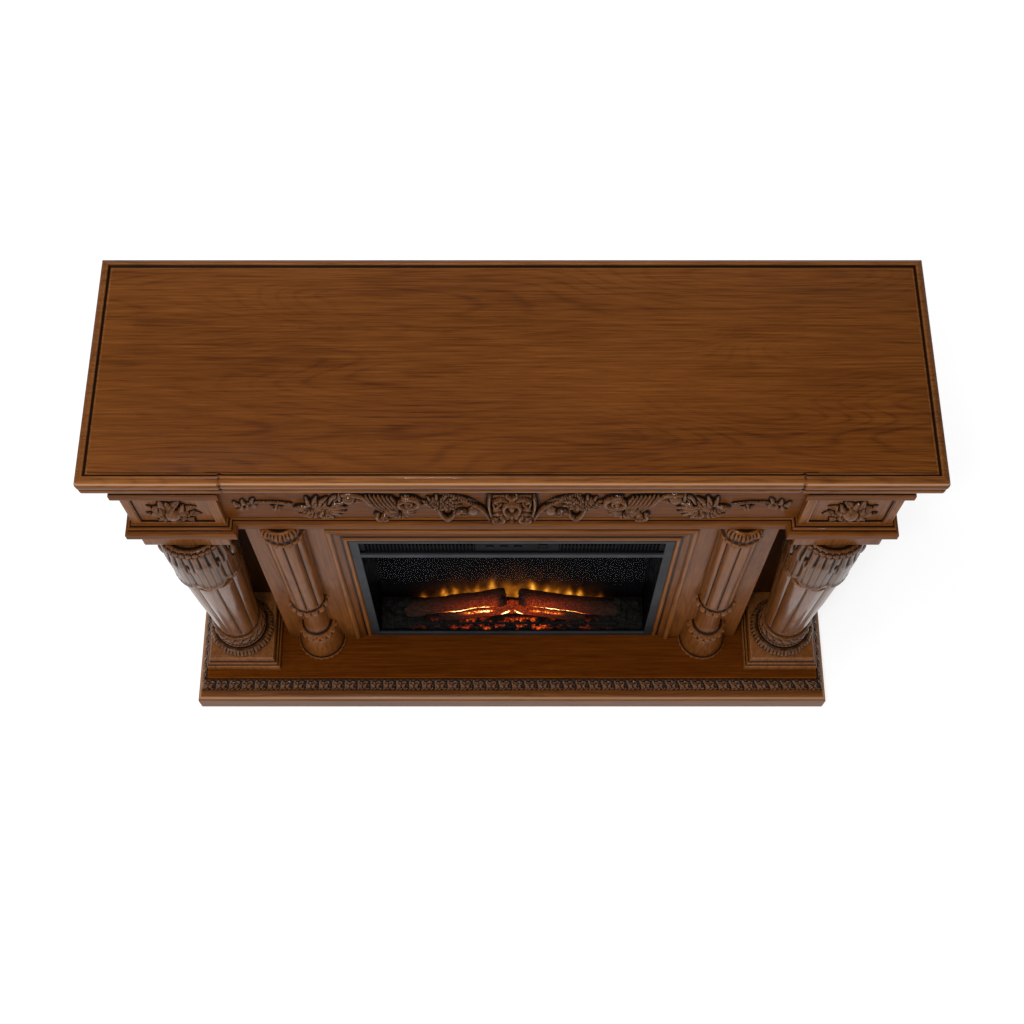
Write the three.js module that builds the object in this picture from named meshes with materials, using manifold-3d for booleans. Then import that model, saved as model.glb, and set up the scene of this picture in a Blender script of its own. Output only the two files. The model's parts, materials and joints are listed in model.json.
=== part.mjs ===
// Carved-wood electric fireplace: a mantel (shelf, entablature, columns, hearth) around a heater insert.
// Millimetres, +Z up, front towards -Y, +X to the right, origin on the floor below the object's centre.
import * as THREE from "three";
import { mergeVertices } from "three/addons/utils/BufferGeometryUtils.js";
import Module from "manifold-3d";

const wasm = await Module();
wasm.setup();

// ---------- driving dimensions ----------
const WIDTH = 1500;
const DEPTH = 530;
const HEIGHT = 1100;
const GAP = 0.3; // joint line between neighbouring pieces

// planes from front to back
const HEARTH_FRONT = -DEPTH / 2;
const BACK = DEPTH / 2;
const SHELF_FRONT = -191;
const BLOCK_FACE = -162;
const FRIEZE_FACE = -141; // where the mouldings are planted
const FRIEZE_FIELD = -149.5; // the raised field that carries the carving
const PILASTER_FACE = -125;
const INSERT_FACE = -123;
const WING_FACE = -35;

// levels from the floor up
const SLAB_TOP = 62;
const HEARTH_TOP = 105;
const PLINTH_TOP = 158;
const BASE_TOP = 232;
const CAPITAL_FOOT = 578;
const ABACUS_FOOT = 776;
const ARCHITRAVE_FOOT = 821;
const ARCHITRAVE_TOP = 862;
const CORNICE_FOOT = 985;
const SHELF_FOOT = 1055;
const PANEL_TOP = HEIGHT - 3;

// shelf
const RIM_WIDTH = 24; // rounded nose and the groove behind it
const BREAK_X = 500; // the shelf's front steps forward outside this
const BREAK_DEPTH = 1;

// entablature
const BLOCK_IN = 530;
const BLOCK_OUT = 703;
const BLOCK_DEPTH = 175;
const BOARD = 18;
const ROSETTE_R = 46;
const ROSETTE_Z = 912;
const CARVING_Z = 912;
const CARVING_TIP = 504; // outer end of the scrolls
const SCROLL_RELIEF = 10;
const CARTOUCHE_RELIEF = 16;

// columns
const COLUMN_X = 617;
const COLUMN_Y = -123;
const COLUMN_LOBES = 10;
const PLINTH_HALF = 83.5;
const PLINTH_FRONT = -207;
const ABACUS_HALF = 82.5;
const ABACUS_FRONT = -170;
const INNER_X = 440;
const INNER_Y = -129;
const INNER_LOBES = 8;

// flat boards beside the insert
const PILASTER_IN = 363;
const PILASTER_OUT = 517;
const SIDE_X = 690;
const TRIM_WIDTH = 38;
const TRIM_HEAD = 75; // the head of the trim is taller than its sides are wide

// hearth
const SLAB_HALF = 730;
const HEARTH_HALF = 703;
const HEARTH_EDGE = -226;

// insert
const BEZEL_HALF = 324;
const BEZEL_TOP = 680;
const WINDOW_HALF = 306;
const GLASS_LOW = 123;
const GLASS_TOP = 594;
const GRILLE_LOW = 609;
const GRILLE_TOP = 668;
const CASING_HALF = 310;
const CASING_LOW = 112;
const CASING_TOP = 674;
const CASING_BACK = 73;
const SHEET = 3;
const CONTROL_LEFT = -74;
const CONTROL_RIGHT = 94;
const SCREEN_Y = -38;
const BED_FRONT = -108;
const POST_XS = [-162, -59, 59, 162];
const ROTOR_Y = 16;
const ROTOR_Z = 205;
const ROTOR_R = 22;
const BLOWER_Y = 2;
const BLOWER_Z = 636;
const BLOWER_R = 24;
const AXLE_R = 3;
const BUTTON_W = 15;
const BUTTON_H = 10;
const BUTTON_Z = 638;
const BUTTON_XS = [-44, -16, 12];
const ROCKER_X = 62;
const ROCKER_TILT = THREE.MathUtils.degToRad(8);

// ---------- materials ----------
const paint = (color, roughness, metalness = 0) =>
  new THREE.MeshStandardMaterial({ color, roughness, metalness });
const WALNUT = paint(0x6b3a1a, 0.38);
const CARVED = paint(0x4e2a14, 0.42);
const VENEER = paint(0x6a3816, 0.35);
const BACKING = paint(0x8a6a48, 0.8);
const BLACK_METAL = paint(0x2b2c2f, 0.45, 0.6);
const DARK_PLASTIC = paint(0x121214, 0.5);
const GALVANISED = paint(0x9a9c9e, 0.4, 0.8);
const COPPER = paint(0xb5653a, 0.4, 0.7);
const CIRCUIT = paint(0x1f5a35, 0.6);
const GLASS = new THREE.MeshStandardMaterial({
  color: 0x1a1a1c,
  roughness: 0.05,
  transparent: true,
  opacity: 0.35,
});
const CHAR = paint(0x2a1a14, 0.9);
const EMBER = paint(0x5a2010, 0.85);

// ---------- shape tools ----------
const fireplace = new THREE.Group();
fireplace.name = "electric_fireplace";

function add(name, geometry, material, parent = fireplace) {
  const mesh = new THREE.Mesh(geometry, material);
  mesh.name = name;
  parent.add(mesh);
  return mesh;
}

// Box between two corners.
function box(x0, x1, y0, y1, z0, z1) {
  const g = new THREE.BoxGeometry(x1 - x0, y1 - y0, z1 - z0);
  return g.translate((x0 + x1) / 2, (y0 + y1) / 2, (z0 + z1) / 2);
}

// Body turned about a vertical axis from [radius, z] points, both ends on the axis.
function turned(profile, segments) {
  const points = profile.map(([r, z]) => new THREE.Vector2(r, z));
  return new THREE.LatheGeometry(points, segments).rotateX(Math.PI / 2);
}

// Pushes a turned body's wall in and out: wave(angle, z) scales the radius.
function carve(geometry, wave) {
  const p = geometry.getAttribute("position");
  for (let i = 0; i < p.count; i++) {
    const k = wave(Math.atan2(p.getY(i), p.getX(i)), p.getZ(i));
    p.setX(i, p.getX(i) * k);
    p.setY(i, p.getY(i) * k);
  }
  return geometry;
}

// Rounded lobes like the staves of a reeded column.
const lobes = (count, depth) => (angle) => 1 - depth * (1 - Math.abs(Math.cos((angle * count) / 2)));

// Plate with an outline in X and Z, and its thickness along Y.
function plateXZ(shape, y0, y1) {
  const g = new THREE.ExtrudeGeometry(shape, { depth: y1 - y0, bevelEnabled: false, curveSegments: 8 });
  return g.rotateX(Math.PI / 2).translate(0, y1, 0);
}

// Slab with an outline in X and Y, and its thickness along Z.
function slabXY(points, z0, z1) {
  const shape = new THREE.Shape(points.map(([x, y]) => new THREE.Vector2(x, y)));
  const g = new THREE.ExtrudeGeometry(shape, { depth: z1 - z0, bevelEnabled: false });
  return g.translate(0, 0, z0);
}

// Bar with an outline in Y and Z, and its length along X.
function barYZ(shape, x0, x1) {
  const g = new THREE.ExtrudeGeometry(shape, { depth: x1 - x0, bevelEnabled: false, curveSegments: 8 });
  return g.rotateY(Math.PI / 2).rotateX(Math.PI / 2).translate(x0, 0, 0);
}

// A closed three.js geometry as a solid, and back.
function solid(geometry) {
  const bare = geometry.index ? geometry.toNonIndexed() : geometry.clone();
  bare.deleteAttribute("normal");
  bare.deleteAttribute("uv");
  const merged = mergeVertices(bare, 1e-3);
  return new wasm.Manifold(
    new wasm.Mesh({
      numProp: 3,
      vertProperties: merged.attributes.position.array,
      triVerts: new Uint32Array(merged.index.array),
    }),
  );
}

function geometryOf(manifold) {
  const mesh = manifold.getMesh();
  const g = new THREE.BufferGeometry();
  g.setAttribute("position", new THREE.BufferAttribute(new Float32Array(mesh.vertProperties), 3));
  g.setIndex(new THREE.BufferAttribute(new Uint32Array(mesh.triVerts), 1));
  g.computeVertexNormals();
  return g;
}

function cut(body, ...tools) {
  return geometryOf(tools.reduce((left, tool) => left.subtract(solid(tool)), solid(body)));
}

function join(...bodies) {
  return geometryOf(bodies.map(solid).reduce((all, next) => all.add(next)));
}

// Mirror twin across the middle plane, with its faces turned back outwards.
function mirrored(geometry) {
  const g = geometry.index ? geometry.toNonIndexed() : geometry.clone();
  const p = g.getAttribute("position");
  for (let i = 0; i < p.count; i += 3) {
    const corners = [0, 2, 1].map((k) => [-p.getX(i + k), p.getY(i + k), p.getZ(i + k)]);
    corners.forEach(([x, y, z], k) => p.setXYZ(i + k, x, y, z));
  }
  g.deleteAttribute("normal");
  g.deleteAttribute("uv");
  g.computeVertexNormals();
  return g;
}

// The same piece on the right and, mirrored, on the left.
function addPair(name, geometry, material) {
  add(name + "_right", geometry, material);
  add(name + "_left", mirrored(geometry), material);
}

// Outline moved outwards by distance, with mitred corners. The outline runs anticlockwise seen from above.
function offsetPath(path, distance, closed) {
  const n = path.length;
  const normal = (a, b) => new THREE.Vector2(b[1] - a[1], a[0] - b[0]).normalize();
  return path.map((p, i) => {
    const before = closed || i > 0 ? normal(path[(i + n - 1) % n], p) : null;
    const after = closed || i < n - 1 ? normal(p, path[(i + 1) % n]) : null;
    const m = (before ?? after).clone().add(after ?? before);
    m.multiplyScalar((2 * distance) / m.lengthSq());
    return [p[0] + m.x, p[1] + m.y];
  });
}

// Moulding run along an outline in plan, mitred at its corners. The section is [projection, z] points,
// anticlockwise with the projection to the right.
function moulding(path, section, closed = false) {
  const rings = section.map(([u, z]) => offsetPath(path, u, closed).map(([x, y]) => [x, y, z]));
  const positions = [];
  const quad = (a, b, c, d) => positions.push(...a, ...b, ...c, ...a, ...c, ...d);
  const steps = closed ? path.length : path.length - 1;
  for (let s = 0; s < steps; s++) {
    const t = (s + 1) % path.length;
    section.forEach((_, k) => {
      const m = (k + 1) % section.length;
      quad(rings[k][s], rings[k][t], rings[m][t], rings[m][s]);
    });
  }
  if (!closed) {
    const outline = section.map(([u, z]) => new THREE.Vector2(u, z));
    const last = path.length - 1;
    for (const [a, b, c] of THREE.ShapeUtils.triangulateShape(outline, [])) {
      positions.push(...rings[a][0], ...rings[b][0], ...rings[c][0]);
      positions.push(...rings[a][last], ...rings[c][last], ...rings[b][last]);
    }
  }
  const g = new THREE.BufferGeometry();
  g.setAttribute("position", new THREE.Float32BufferAttribute(positions, 3));
  g.computeVertexNormals();
  return g;
}

// Points of an arc, from one angle to another in degrees.
function arc(cx, cz, r, from, to, steps) {
  return Array.from({ length: steps + 1 }, (_, i) => {
    const a = THREE.MathUtils.degToRad(from + ((to - from) * i) / steps);
    return [cx + r * Math.cos(a), cz + r * Math.sin(a)];
  });
}

// ---------- shelf ----------
const shelfOutline = [
  [-WIDTH / 2, BACK],
  [-WIDTH / 2, SHELF_FRONT],
  [-BREAK_X, SHELF_FRONT],
  [-BREAK_X, SHELF_FRONT + BREAK_DEPTH],
  [BREAK_X, SHELF_FRONT + BREAK_DEPTH],
  [BREAK_X, SHELF_FRONT],
  [WIDTH / 2, SHELF_FRONT],
  [WIDTH / 2, BACK],
];

function makeShelf() {
  const noseR = 14;
  const section = [
    [-RIM_WIDTH, SHELF_FOOT],
    [-3, SHELF_FOOT],
    [-3, SHELF_FOOT + 8],
    [-6, SHELF_FOOT + 12],
    ...arc(-noseR, HEIGHT - noseR, noseR, -60, 90, 6),
    [-16, HEIGHT],
    [-18, HEIGHT - 6],
    [-RIM_WIDTH, HEIGHT - 6],
  ];
  // The two front corners of the rim are rounded off in plan.
  const r = 12;
  const rounding = slabXY(
    [
      [WIDTH / 2 - r, SHELF_FRONT - 1],
      [WIDTH / 2 + 1, SHELF_FRONT - 1],
      [WIDTH / 2 + 1, SHELF_FRONT + r],
      ...arc(WIDTH / 2 - r, SHELF_FRONT + r, r, 0, -90, 6),
    ],
    SHELF_FOOT - 1,
    HEIGHT + 1,
  );
  const rim = cut(moulding(shelfOutline, section, true), rounding, mirrored(rounding));
  add("shelf_rim", rim, WALNUT);
  const panel = offsetPath(shelfOutline, -(RIM_WIDTH + GAP), true);
  add("shelf_board", slabXY(panel, SHELF_FOOT, PANEL_TOP), VENEER);
}

// ---------- entablature ----------
const wallOutline = [
  [-BLOCK_OUT, BACK],
  [-BLOCK_OUT, BLOCK_FACE],
  [-BLOCK_IN, BLOCK_FACE],
  [-BLOCK_IN, FRIEZE_FACE],
  [BLOCK_IN, FRIEZE_FACE],
  [BLOCK_IN, BLOCK_FACE],
  [BLOCK_OUT, BLOCK_FACE],
  [BLOCK_OUT, BACK],
];

function makeMouldings() {
  const cornice = [
    [GAP, CORNICE_FOOT],
    [8, CORNICE_FOOT],
    [10, 990],
    [10, 1009],
    [6, 1011],
    [5, 1020],
    [8, 1032],
    [18, 1041],
    [20.5, 1044],
    [20.5, SHELF_FOOT - GAP],
    [GAP, SHELF_FOOT - GAP],
  ];
  const architrave = [
    [GAP, ARCHITRAVE_FOOT],
    [14, ARCHITRAVE_FOOT],
    [17, ARCHITRAVE_FOOT + 5],
    [17, ARCHITRAVE_FOOT + 25],
    [15, ARCHITRAVE_FOOT + 28],
    [10, ARCHITRAVE_FOOT + 30],
    [10, ARCHITRAVE_FOOT + 36],
    [5, ARCHITRAVE_FOOT + 38],
    [2, ARCHITRAVE_TOP],
    [GAP, ARCHITRAVE_TOP],
  ];
  add("cornice_moulding", moulding(wallOutline, cornice), WALNUT);
  add("architrave_moulding", moulding(wallOutline, architrave), WALNUT);
}

function makeFrieze() {
  const half = BLOCK_IN - GAP;
  const top = SHELF_FOOT - GAP;
  const board = box(-half, half, FRIEZE_FACE, FRIEZE_FACE + BOARD, ARCHITRAVE_FOOT, top);
  const field = box(
    -half, half, FRIEZE_FIELD, FRIEZE_FACE + 1, ARCHITRAVE_TOP + GAP, CORNICE_FOOT - GAP,
  );
  add("frieze_panel", join(board, field), WALNUT);
  add("frieze_carving", join(cartouche(), scroll(), mirrored(scroll())), CARVED);
}

// Low relief of leafy scrolls: a wavy band that thins towards its outer end.
function scroll() {
  const start = 30;
  const steps = 24;
  const centre = (t) => CARVING_Z + 12 * Math.sin(t * Math.PI * 4);
  const half = (t) => 34 * (1 - t) ** 0.5 * (0.72 + 0.28 * Math.cos(t * Math.PI * 8)) + 5;
  const at = (i, side) => {
    const t = i / steps;
    return new THREE.Vector2(start + (CARVING_TIP - start) * t, centre(t) + side * half(t));
  };
  const upper = Array.from({ length: steps + 1 }, (_, i) => at(i, 1));
  const lower = Array.from({ length: steps + 1 }, (_, i) => at(steps - i, -1));
  return plateXZ(new THREE.Shape([...lower, ...upper]), FRIEZE_FIELD - SCROLL_RELIEF, FRIEZE_FIELD - GAP);
}

// Shell-shaped boss at the middle of the frieze.
function cartouche() {
  const steps = 36;
  const points = Array.from({ length: steps }, (_, i) => {
    const a = (i / steps) * Math.PI * 2;
    const r = 1 + 0.08 * Math.cos(a * 9);
    return new THREE.Vector2(50 * r * Math.cos(a), CARVING_Z + 44 * r * Math.sin(a));
  });
  return plateXZ(new THREE.Shape(points), FRIEZE_FIELD - CARTOUCHE_RELIEF, FRIEZE_FIELD - GAP);
}

function makeBlocks() {
  const top = SHELF_FOOT - GAP;
  const body = box(BLOCK_IN, BLOCK_OUT, BLOCK_FACE, BLOCK_FACE + BLOCK_DEPTH, ARCHITRAVE_FOOT, top);
  const border = 15;
  const recess = 4;
  const panel = box(
    BLOCK_IN + border,
    BLOCK_OUT - border,
    BLOCK_FACE - 1,
    BLOCK_FACE + recess,
    ARCHITRAVE_TOP + 4,
    CORNICE_FOOT - 14,
  );
  addPair("corner_block", cut(body, panel), WALNUT);
  const petals = (angle, z) => 1 - (z < 10 ? 0.12 * (1 - Math.abs(Math.cos(angle * 4))) : 0);
  const profile = [[0, 0], [ROSETTE_R, 0], [ROSETTE_R, 5], [34, 12], [22, 8], [14, 16], [0, 18]];
  const rosette = carve(turned(profile, 32), petals).rotateX(Math.PI / 2);
  rosette.translate(COLUMN_X, BLOCK_FACE + recess - GAP, ROSETTE_Z);
  addPair("block_rosette", rosette, CARVED);
}

// ---------- columns ----------
function makeColumns() {
  const reach = WING_FACE - GAP;
  const lower = box(
    COLUMN_X - PLINTH_HALF, COLUMN_X + PLINTH_HALF, PLINTH_FRONT, reach, HEARTH_TOP + GAP, 130,
  );
  const upper = box(
    COLUMN_X - PLINTH_HALF + 9, COLUMN_X + PLINTH_HALF - 9, PLINTH_FRONT + 9, reach, 129, PLINTH_TOP,
  );
  addPair("column_plinth", join(lower, upper), WALNUT);

  const abacusTop = ARCHITRAVE_FOOT - GAP;
  const abacus = box(
    COLUMN_X - ABACUS_HALF, COLUMN_X + ABACUS_HALF, ABACUS_FRONT, reach, ABACUS_FOOT, abacusTop,
  );
  addPair("column_abacus", abacus, WALNUT);

  const place = (g) => g.translate(COLUMN_X, COLUMN_Y, 0);
  const foot = PLINTH_TOP + GAP;
  const base = [
    [0, foot], [64, foot], [69, foot + 8], [69, foot + 18], [62, foot + 27], [54, foot + 32],
    [53, foot + 42], [58, foot + 50], [57, foot + 60], [50, BASE_TOP], [0, BASE_TOP],
  ];
  addPair("column_base", place(turned(base, 32)), CARVED);

  const shaftFoot = BASE_TOP + GAP;
  const shaft = [
    [0, shaftFoot], [44, shaftFoot], [52.5, 345], [59, 449],
    [64, CAPITAL_FOOT - GAP], [0, CAPITAL_FOOT - GAP],
  ];
  addPair("column_shaft", place(carve(turned(shaft, 60), lobes(COLUMN_LOBES, 0.1))), WALNUT);

  const head = ABACUS_FOOT - GAP;
  const capital = [
    [0, CAPITAL_FOOT], [65, CAPITAL_FOOT], [70, 600], [72, 670],
    [75, 725], [73, 755], [66, head], [0, head],
  ];
  addPair("column_capital", place(carve(turned(capital, 40), lobes(COLUMN_LOBES, 0.05))), CARVED);
}

// Slim reeded columns, slightly more than half round, planted on the pilaster boards.
function makeInnerColumns() {
  const foot = HEARTH_TOP + GAP;
  const head = ARCHITRAVE_FOOT - GAP;
  const profile = [
    [0, foot], [52, foot], [54, 112], [50, 119], [48, 126], [44, 160], [40, 200],
    [42, 208], [42, 218], [31, 226], [27, 240], [27, 355], [34, 362], [42, 370], [42, 382],
    [36, 390], [39, 772], [45, 782], [43, 792], [47, 808], [47, head], [0, head],
  ];
  const halfLobe = Math.PI / INNER_LOBES;
  const reeded = (angle, z) => (z > 385 && z < 775 ? lobes(INNER_LOBES, 0.16)(angle + halfLobe) : 1);
  const column = carve(turned(profile, 40), reeded).translate(INNER_X, INNER_Y, 0);
  const wall = box(
    INNER_X - 60, INNER_X + 60, PILASTER_FACE - GAP, PILASTER_FACE + 60, 0, HEIGHT,
  );
  addPair("inner_column", cut(column, wall), WALNUT);
}

// ---------- boards behind the columns ----------
function makeBoards() {
  const foot = HEARTH_TOP + GAP;
  const head = ARCHITRAVE_FOOT - GAP;
  const back = PILASTER_FACE + BOARD;
  addPair("pilaster_board", box(PILASTER_IN, PILASTER_OUT, PILASTER_FACE, back, foot, head), WALNUT);

  const wing = slabXY(
    [
      [PILASTER_OUT - BOARD, back + GAP],
      [PILASTER_OUT, back + GAP],
      [PILASTER_OUT, WING_FACE],
      [SIDE_X - BOARD - GAP, WING_FACE],
      [SIDE_X - BOARD - GAP, WING_FACE + BOARD],
      [PILASTER_OUT - BOARD, WING_FACE + BOARD],
    ],
    foot,
    head,
  );
  addPair("wing_panel", wing, WALNUT);

  // The side board stops under the corner block. Behind the block it rises to the shelf with a rail outside.
  const behindBlock = BLOCK_FACE + BLOCK_DEPTH + GAP;
  const top = SHELF_FOOT - GAP;
  const side = box(SIDE_X - BOARD, SIDE_X, WING_FACE, BACK, foot, head);
  const upright = box(SIDE_X - BOARD, SIDE_X, behindBlock, BACK, foot, top);
  const rail = box(SIDE_X - BOARD, BLOCK_OUT, behindBlock, BACK, ARCHITRAVE_FOOT, top);
  addPair("side_panel", join(side, upright, rail), WALNUT);

  const span = PILASTER_IN - GAP;
  const lintelFoot = BEZEL_TOP + TRIM_HEAD + 2 * GAP;
  add("lintel_board", box(-span, span, PILASTER_FACE, back, lintelFoot, head), WALNUT);

  const reach = SIDE_X - BOARD - GAP;
  const sheet = box(-reach, reach, BACK - 9, BACK - 3, foot, SHELF_FOOT - GAP);
  const cableHole = box(200, 290, BACK - 20, BACK + 10, 130, 190);
  add("back_panel", cut(sheet, cableHole), BACKING);
}

// One stick of the trim: its length runs along -X from the origin, its width along +Z and its projection
// along -Y. A mitre lengthens that end by the width times its slope, and a mitre of 0 leaves it square.
function trimStick(length, width, startMitre, endMitre) {
  const across = width / TRIM_WIDTH;
  const profile = [[0, 0], [38, 0], [38, 20], [32, 20], [26, 15], [18, 11], [11, 9], [5, 12], [0, 9]];
  const g = moulding([[0, 0], [length, 0]], profile.map(([u, p]) => [u * across, p]));
  const p = g.getAttribute("position");
  for (let i = 0; i < p.count; i++) {
    const u = -p.getY(i);
    p.setX(i, p.getX(i) > length / 2 ? length + endMitre * u : -startMitre * u);
  }
  return g.rotateX(-Math.PI / 2).rotateZ(Math.PI);
}

// Trim round the insert, mitred at the two upper corners.
function makeTrim() {
  const inner = BEZEL_HALF + GAP;
  const low = HEARTH_TOP + GAP;
  const high = BEZEL_TOP + GAP;
  const back = INSERT_FACE + 10;
  const slope = TRIM_HEAD / TRIM_WIDTH;
  const side = trimStick(high - low - 2 * GAP, TRIM_WIDTH - GAP, 0, slope).rotateY(Math.PI / 2);
  addPair("trim", side.translate(inner, back, low), WALNUT);
  const head = trimStick(2 * inner, TRIM_HEAD, 1 / slope, 1 / slope);
  add("trim_top", head.translate(inner, back, high), WALNUT);
}

// ---------- hearth ----------
function makeHearth() {
  const slabOutline = [
    [-SLAB_HALF, BACK],
    [-SLAB_HALF, HEARTH_FRONT],
    [SLAB_HALF, HEARTH_FRONT],
    [SLAB_HALF, BACK],
  ];
  const nose = [
    [-60, 0], [-2, 0], [0, 3], [0, 42], ...arc(-10, SLAB_TOP - 12, 10, 0, 90, 4),
    [-12, SLAB_TOP], [-60, SLAB_TOP],
  ];
  const rail = moulding(slabOutline, nose);
  const top = box(-SLAB_HALF + 50, SLAB_HALF - 50, HEARTH_FRONT + 50, BACK, SLAB_TOP - 20, SLAB_TOP);
  const rear = box(-SLAB_HALF + 50, SLAB_HALF - 50, BACK - 40, BACK, 0, SLAB_TOP);
  add("hearth_slab", join(rail, top, rear), WALNUT);

  const body = box(-HEARTH_HALF, HEARTH_HALF, HEARTH_EDGE, BACK, SLAB_TOP + GAP, HEARTH_TOP);
  add("hearth_platform", body, VENEER);

  const platformOutline = [
    [-HEARTH_HALF, BACK],
    [-HEARTH_HALF, HEARTH_EDGE],
    [HEARTH_HALF, HEARTH_EDGE],
    [HEARTH_HALF, BACK],
  ];
  const band = [
    [GAP, SLAB_TOP + GAP], [19, SLAB_TOP + GAP], [19, 66], [16, 69], [12, 82], [4, 97], [4, 100],
    [GAP, 100],
  ];
  add("hearth_carved_moulding", moulding(platformOutline, band), CARVED);
}

// ---------- insert: casing and front ----------
function makeInsertShell() {
  const front = INSERT_FACE + 6;
  const shell = box(-CASING_HALF, CASING_HALF, front, CASING_BACK, CASING_LOW, CASING_TOP);
  const hollow = box(
    -CASING_HALF + SHEET, CASING_HALF - SHEET, front - 10, CASING_BACK - SHEET,
    CASING_LOW + SHEET, CASING_TOP - SHEET,
  );
  const glandHole = box(230, 250, 0, CASING_BACK + 10, 140, 160);
  const intakes = Array.from({ length: 9 }, (_, i) =>
    box(-190 + i * 45, -160 + i * 45, 0, CASING_BACK + 10, 625, 632),
  );
  add("insert_casing", cut(shell, hollow, glandHole, ...intakes), GALVANISED);

  const frame = box(
    -BEZEL_HALF, BEZEL_HALF, INSERT_FACE, INSERT_FACE + 6 - GAP, HEARTH_TOP + GAP, BEZEL_TOP,
  );
  const window = box(-WINDOW_HALF, WINDOW_HALF, INSERT_FACE - 5, 0, GLASS_LOW, GLASS_TOP);
  const vent = box(-WINDOW_HALF, WINDOW_HALF, INSERT_FACE - 5, 0, GRILLE_LOW, GRILLE_TOP);
  add("insert_bezel", cut(frame, window, vent), BLACK_METAL);

  const paneHalf = CASING_HALF - SHEET - GAP;
  const paneY = front + GAP;
  add(
    "glass_pane",
    box(-paneHalf, paneHalf, paneY, paneY + 4, CASING_LOW + SHEET + GAP, GLASS_TOP + 10),
    GLASS,
  );
  makeGrille(paneHalf, paneY);
  makeControls(paneY);
}

// Outlet grille: two fields of upright slots, with a clear middle that the control panel fills.
function makeGrille(half, y) {
  const low = GLASS_TOP + 12;
  const high = CASING_TOP - SHEET - GAP;
  const slots = [];
  const pitch = 22;
  for (let x = -half + 14; x < half - 14; x += pitch) {
    const inMiddle = x + 14 > CONTROL_LEFT - 4 && x < CONTROL_RIGHT + 4;
    if (inMiddle) continue;
    slots.push(box(x, x + 14, y - 5, y + 10, GRILLE_LOW + 8, GRILLE_TOP - 8));
  }
  const seat = box(
    CONTROL_LEFT - GAP, CONTROL_RIGHT + GAP, y - 5, y + 10, GRILLE_LOW + 3, GRILLE_TOP - 3,
  );
  add("outlet_grille", cut(box(-half, half, y, y + 3, low, high), seat, ...slots), BLACK_METAL);
}

// Control panel with three push buttons and a rocker switch.
function makeControls(y) {
  const low = GRILLE_LOW + 3 + GAP;
  const high = GRILLE_TOP - 3 - GAP;
  const clearance = 0.6;
  const thick = 4;
  const bores = BUTTON_XS.map((x) =>
    box(
      x - BUTTON_W / 2 - clearance, x + BUTTON_W / 2 + clearance, y - 5, y + 10,
      BUTTON_Z - BUTTON_H / 2 - clearance, BUTTON_Z + BUTTON_H / 2 + clearance,
    ),
  );
  const rockerHole = box(ROCKER_X - 9, ROCKER_X + 9, y - 5, y + 10, BUTTON_Z - 14, BUTTON_Z + 14);
  const plate = box(CONTROL_LEFT, CONTROL_RIGHT, y, y + thick, low, high);
  add("control_panel", cut(plate, rockerHole, ...bores), DARK_PLASTIC);

  const names = ["button_power", "button_flame", "button_heat"];
  BUTTON_XS.forEach((x, i) => {
    const cap = box(
      x - BUTTON_W / 2, x + BUTTON_W / 2, y - 2, y + 8, BUTTON_Z - BUTTON_H / 2, BUTTON_Z + BUTTON_H / 2,
    );
    const flange = box(x - 10, x + 10, y + thick + GAP, y + 8, BUTTON_Z - 8, BUTTON_Z + 8);
    add(names[i], join(cap, flange), DARK_PLASTIC);
  });

  // Rocker: a shallow V at the front over a round hub, lying along X.
  const rocker = new THREE.Shape();
  rocker.moveTo(-4, 12);
  rocker.lineTo(-1.5, 0);
  rocker.lineTo(-4, -12);
  rocker.lineTo(0, -12);
  rocker.lineTo(4, -6);
  rocker.lineTo(8, -3);
  rocker.lineTo(8, 3);
  rocker.lineTo(4, 6);
  rocker.lineTo(0, 12);
  const switchGroup = new THREE.Group();
  switchGroup.position.set(ROCKER_X, y + 1, BUTTON_Z);
  switchGroup.rotation.x = -ROCKER_TILT;
  fireplace.add(switchGroup);
  add("rocker_switch", barYZ(rocker, -8, 8), DARK_PLASTIC, switchGroup);
}

// ---------- insert: fire effect ----------
// Split log between two points: a lumpy turned body whose ends are a little thinner.
function log(from, to, radius) {
  const axis = new THREE.Vector3(...to).sub(new THREE.Vector3(...from));
  const length = axis.length();
  const profile = [
    [0, 0], [radius * 0.8, 0], [radius, length * 0.15], [radius * 0.95, length * 0.8],
    [radius * 0.75, length], [0, length],
  ];
  const bark = carve(turned(profile, 14), (angle) => 1 + 0.06 * Math.cos(angle * 5));
  const turn = new THREE.Quaternion().setFromUnitVectors(new THREE.Vector3(0, 0, 1), axis.normalize());
  return bark.applyQuaternion(turn).translate(...from);
}

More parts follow.
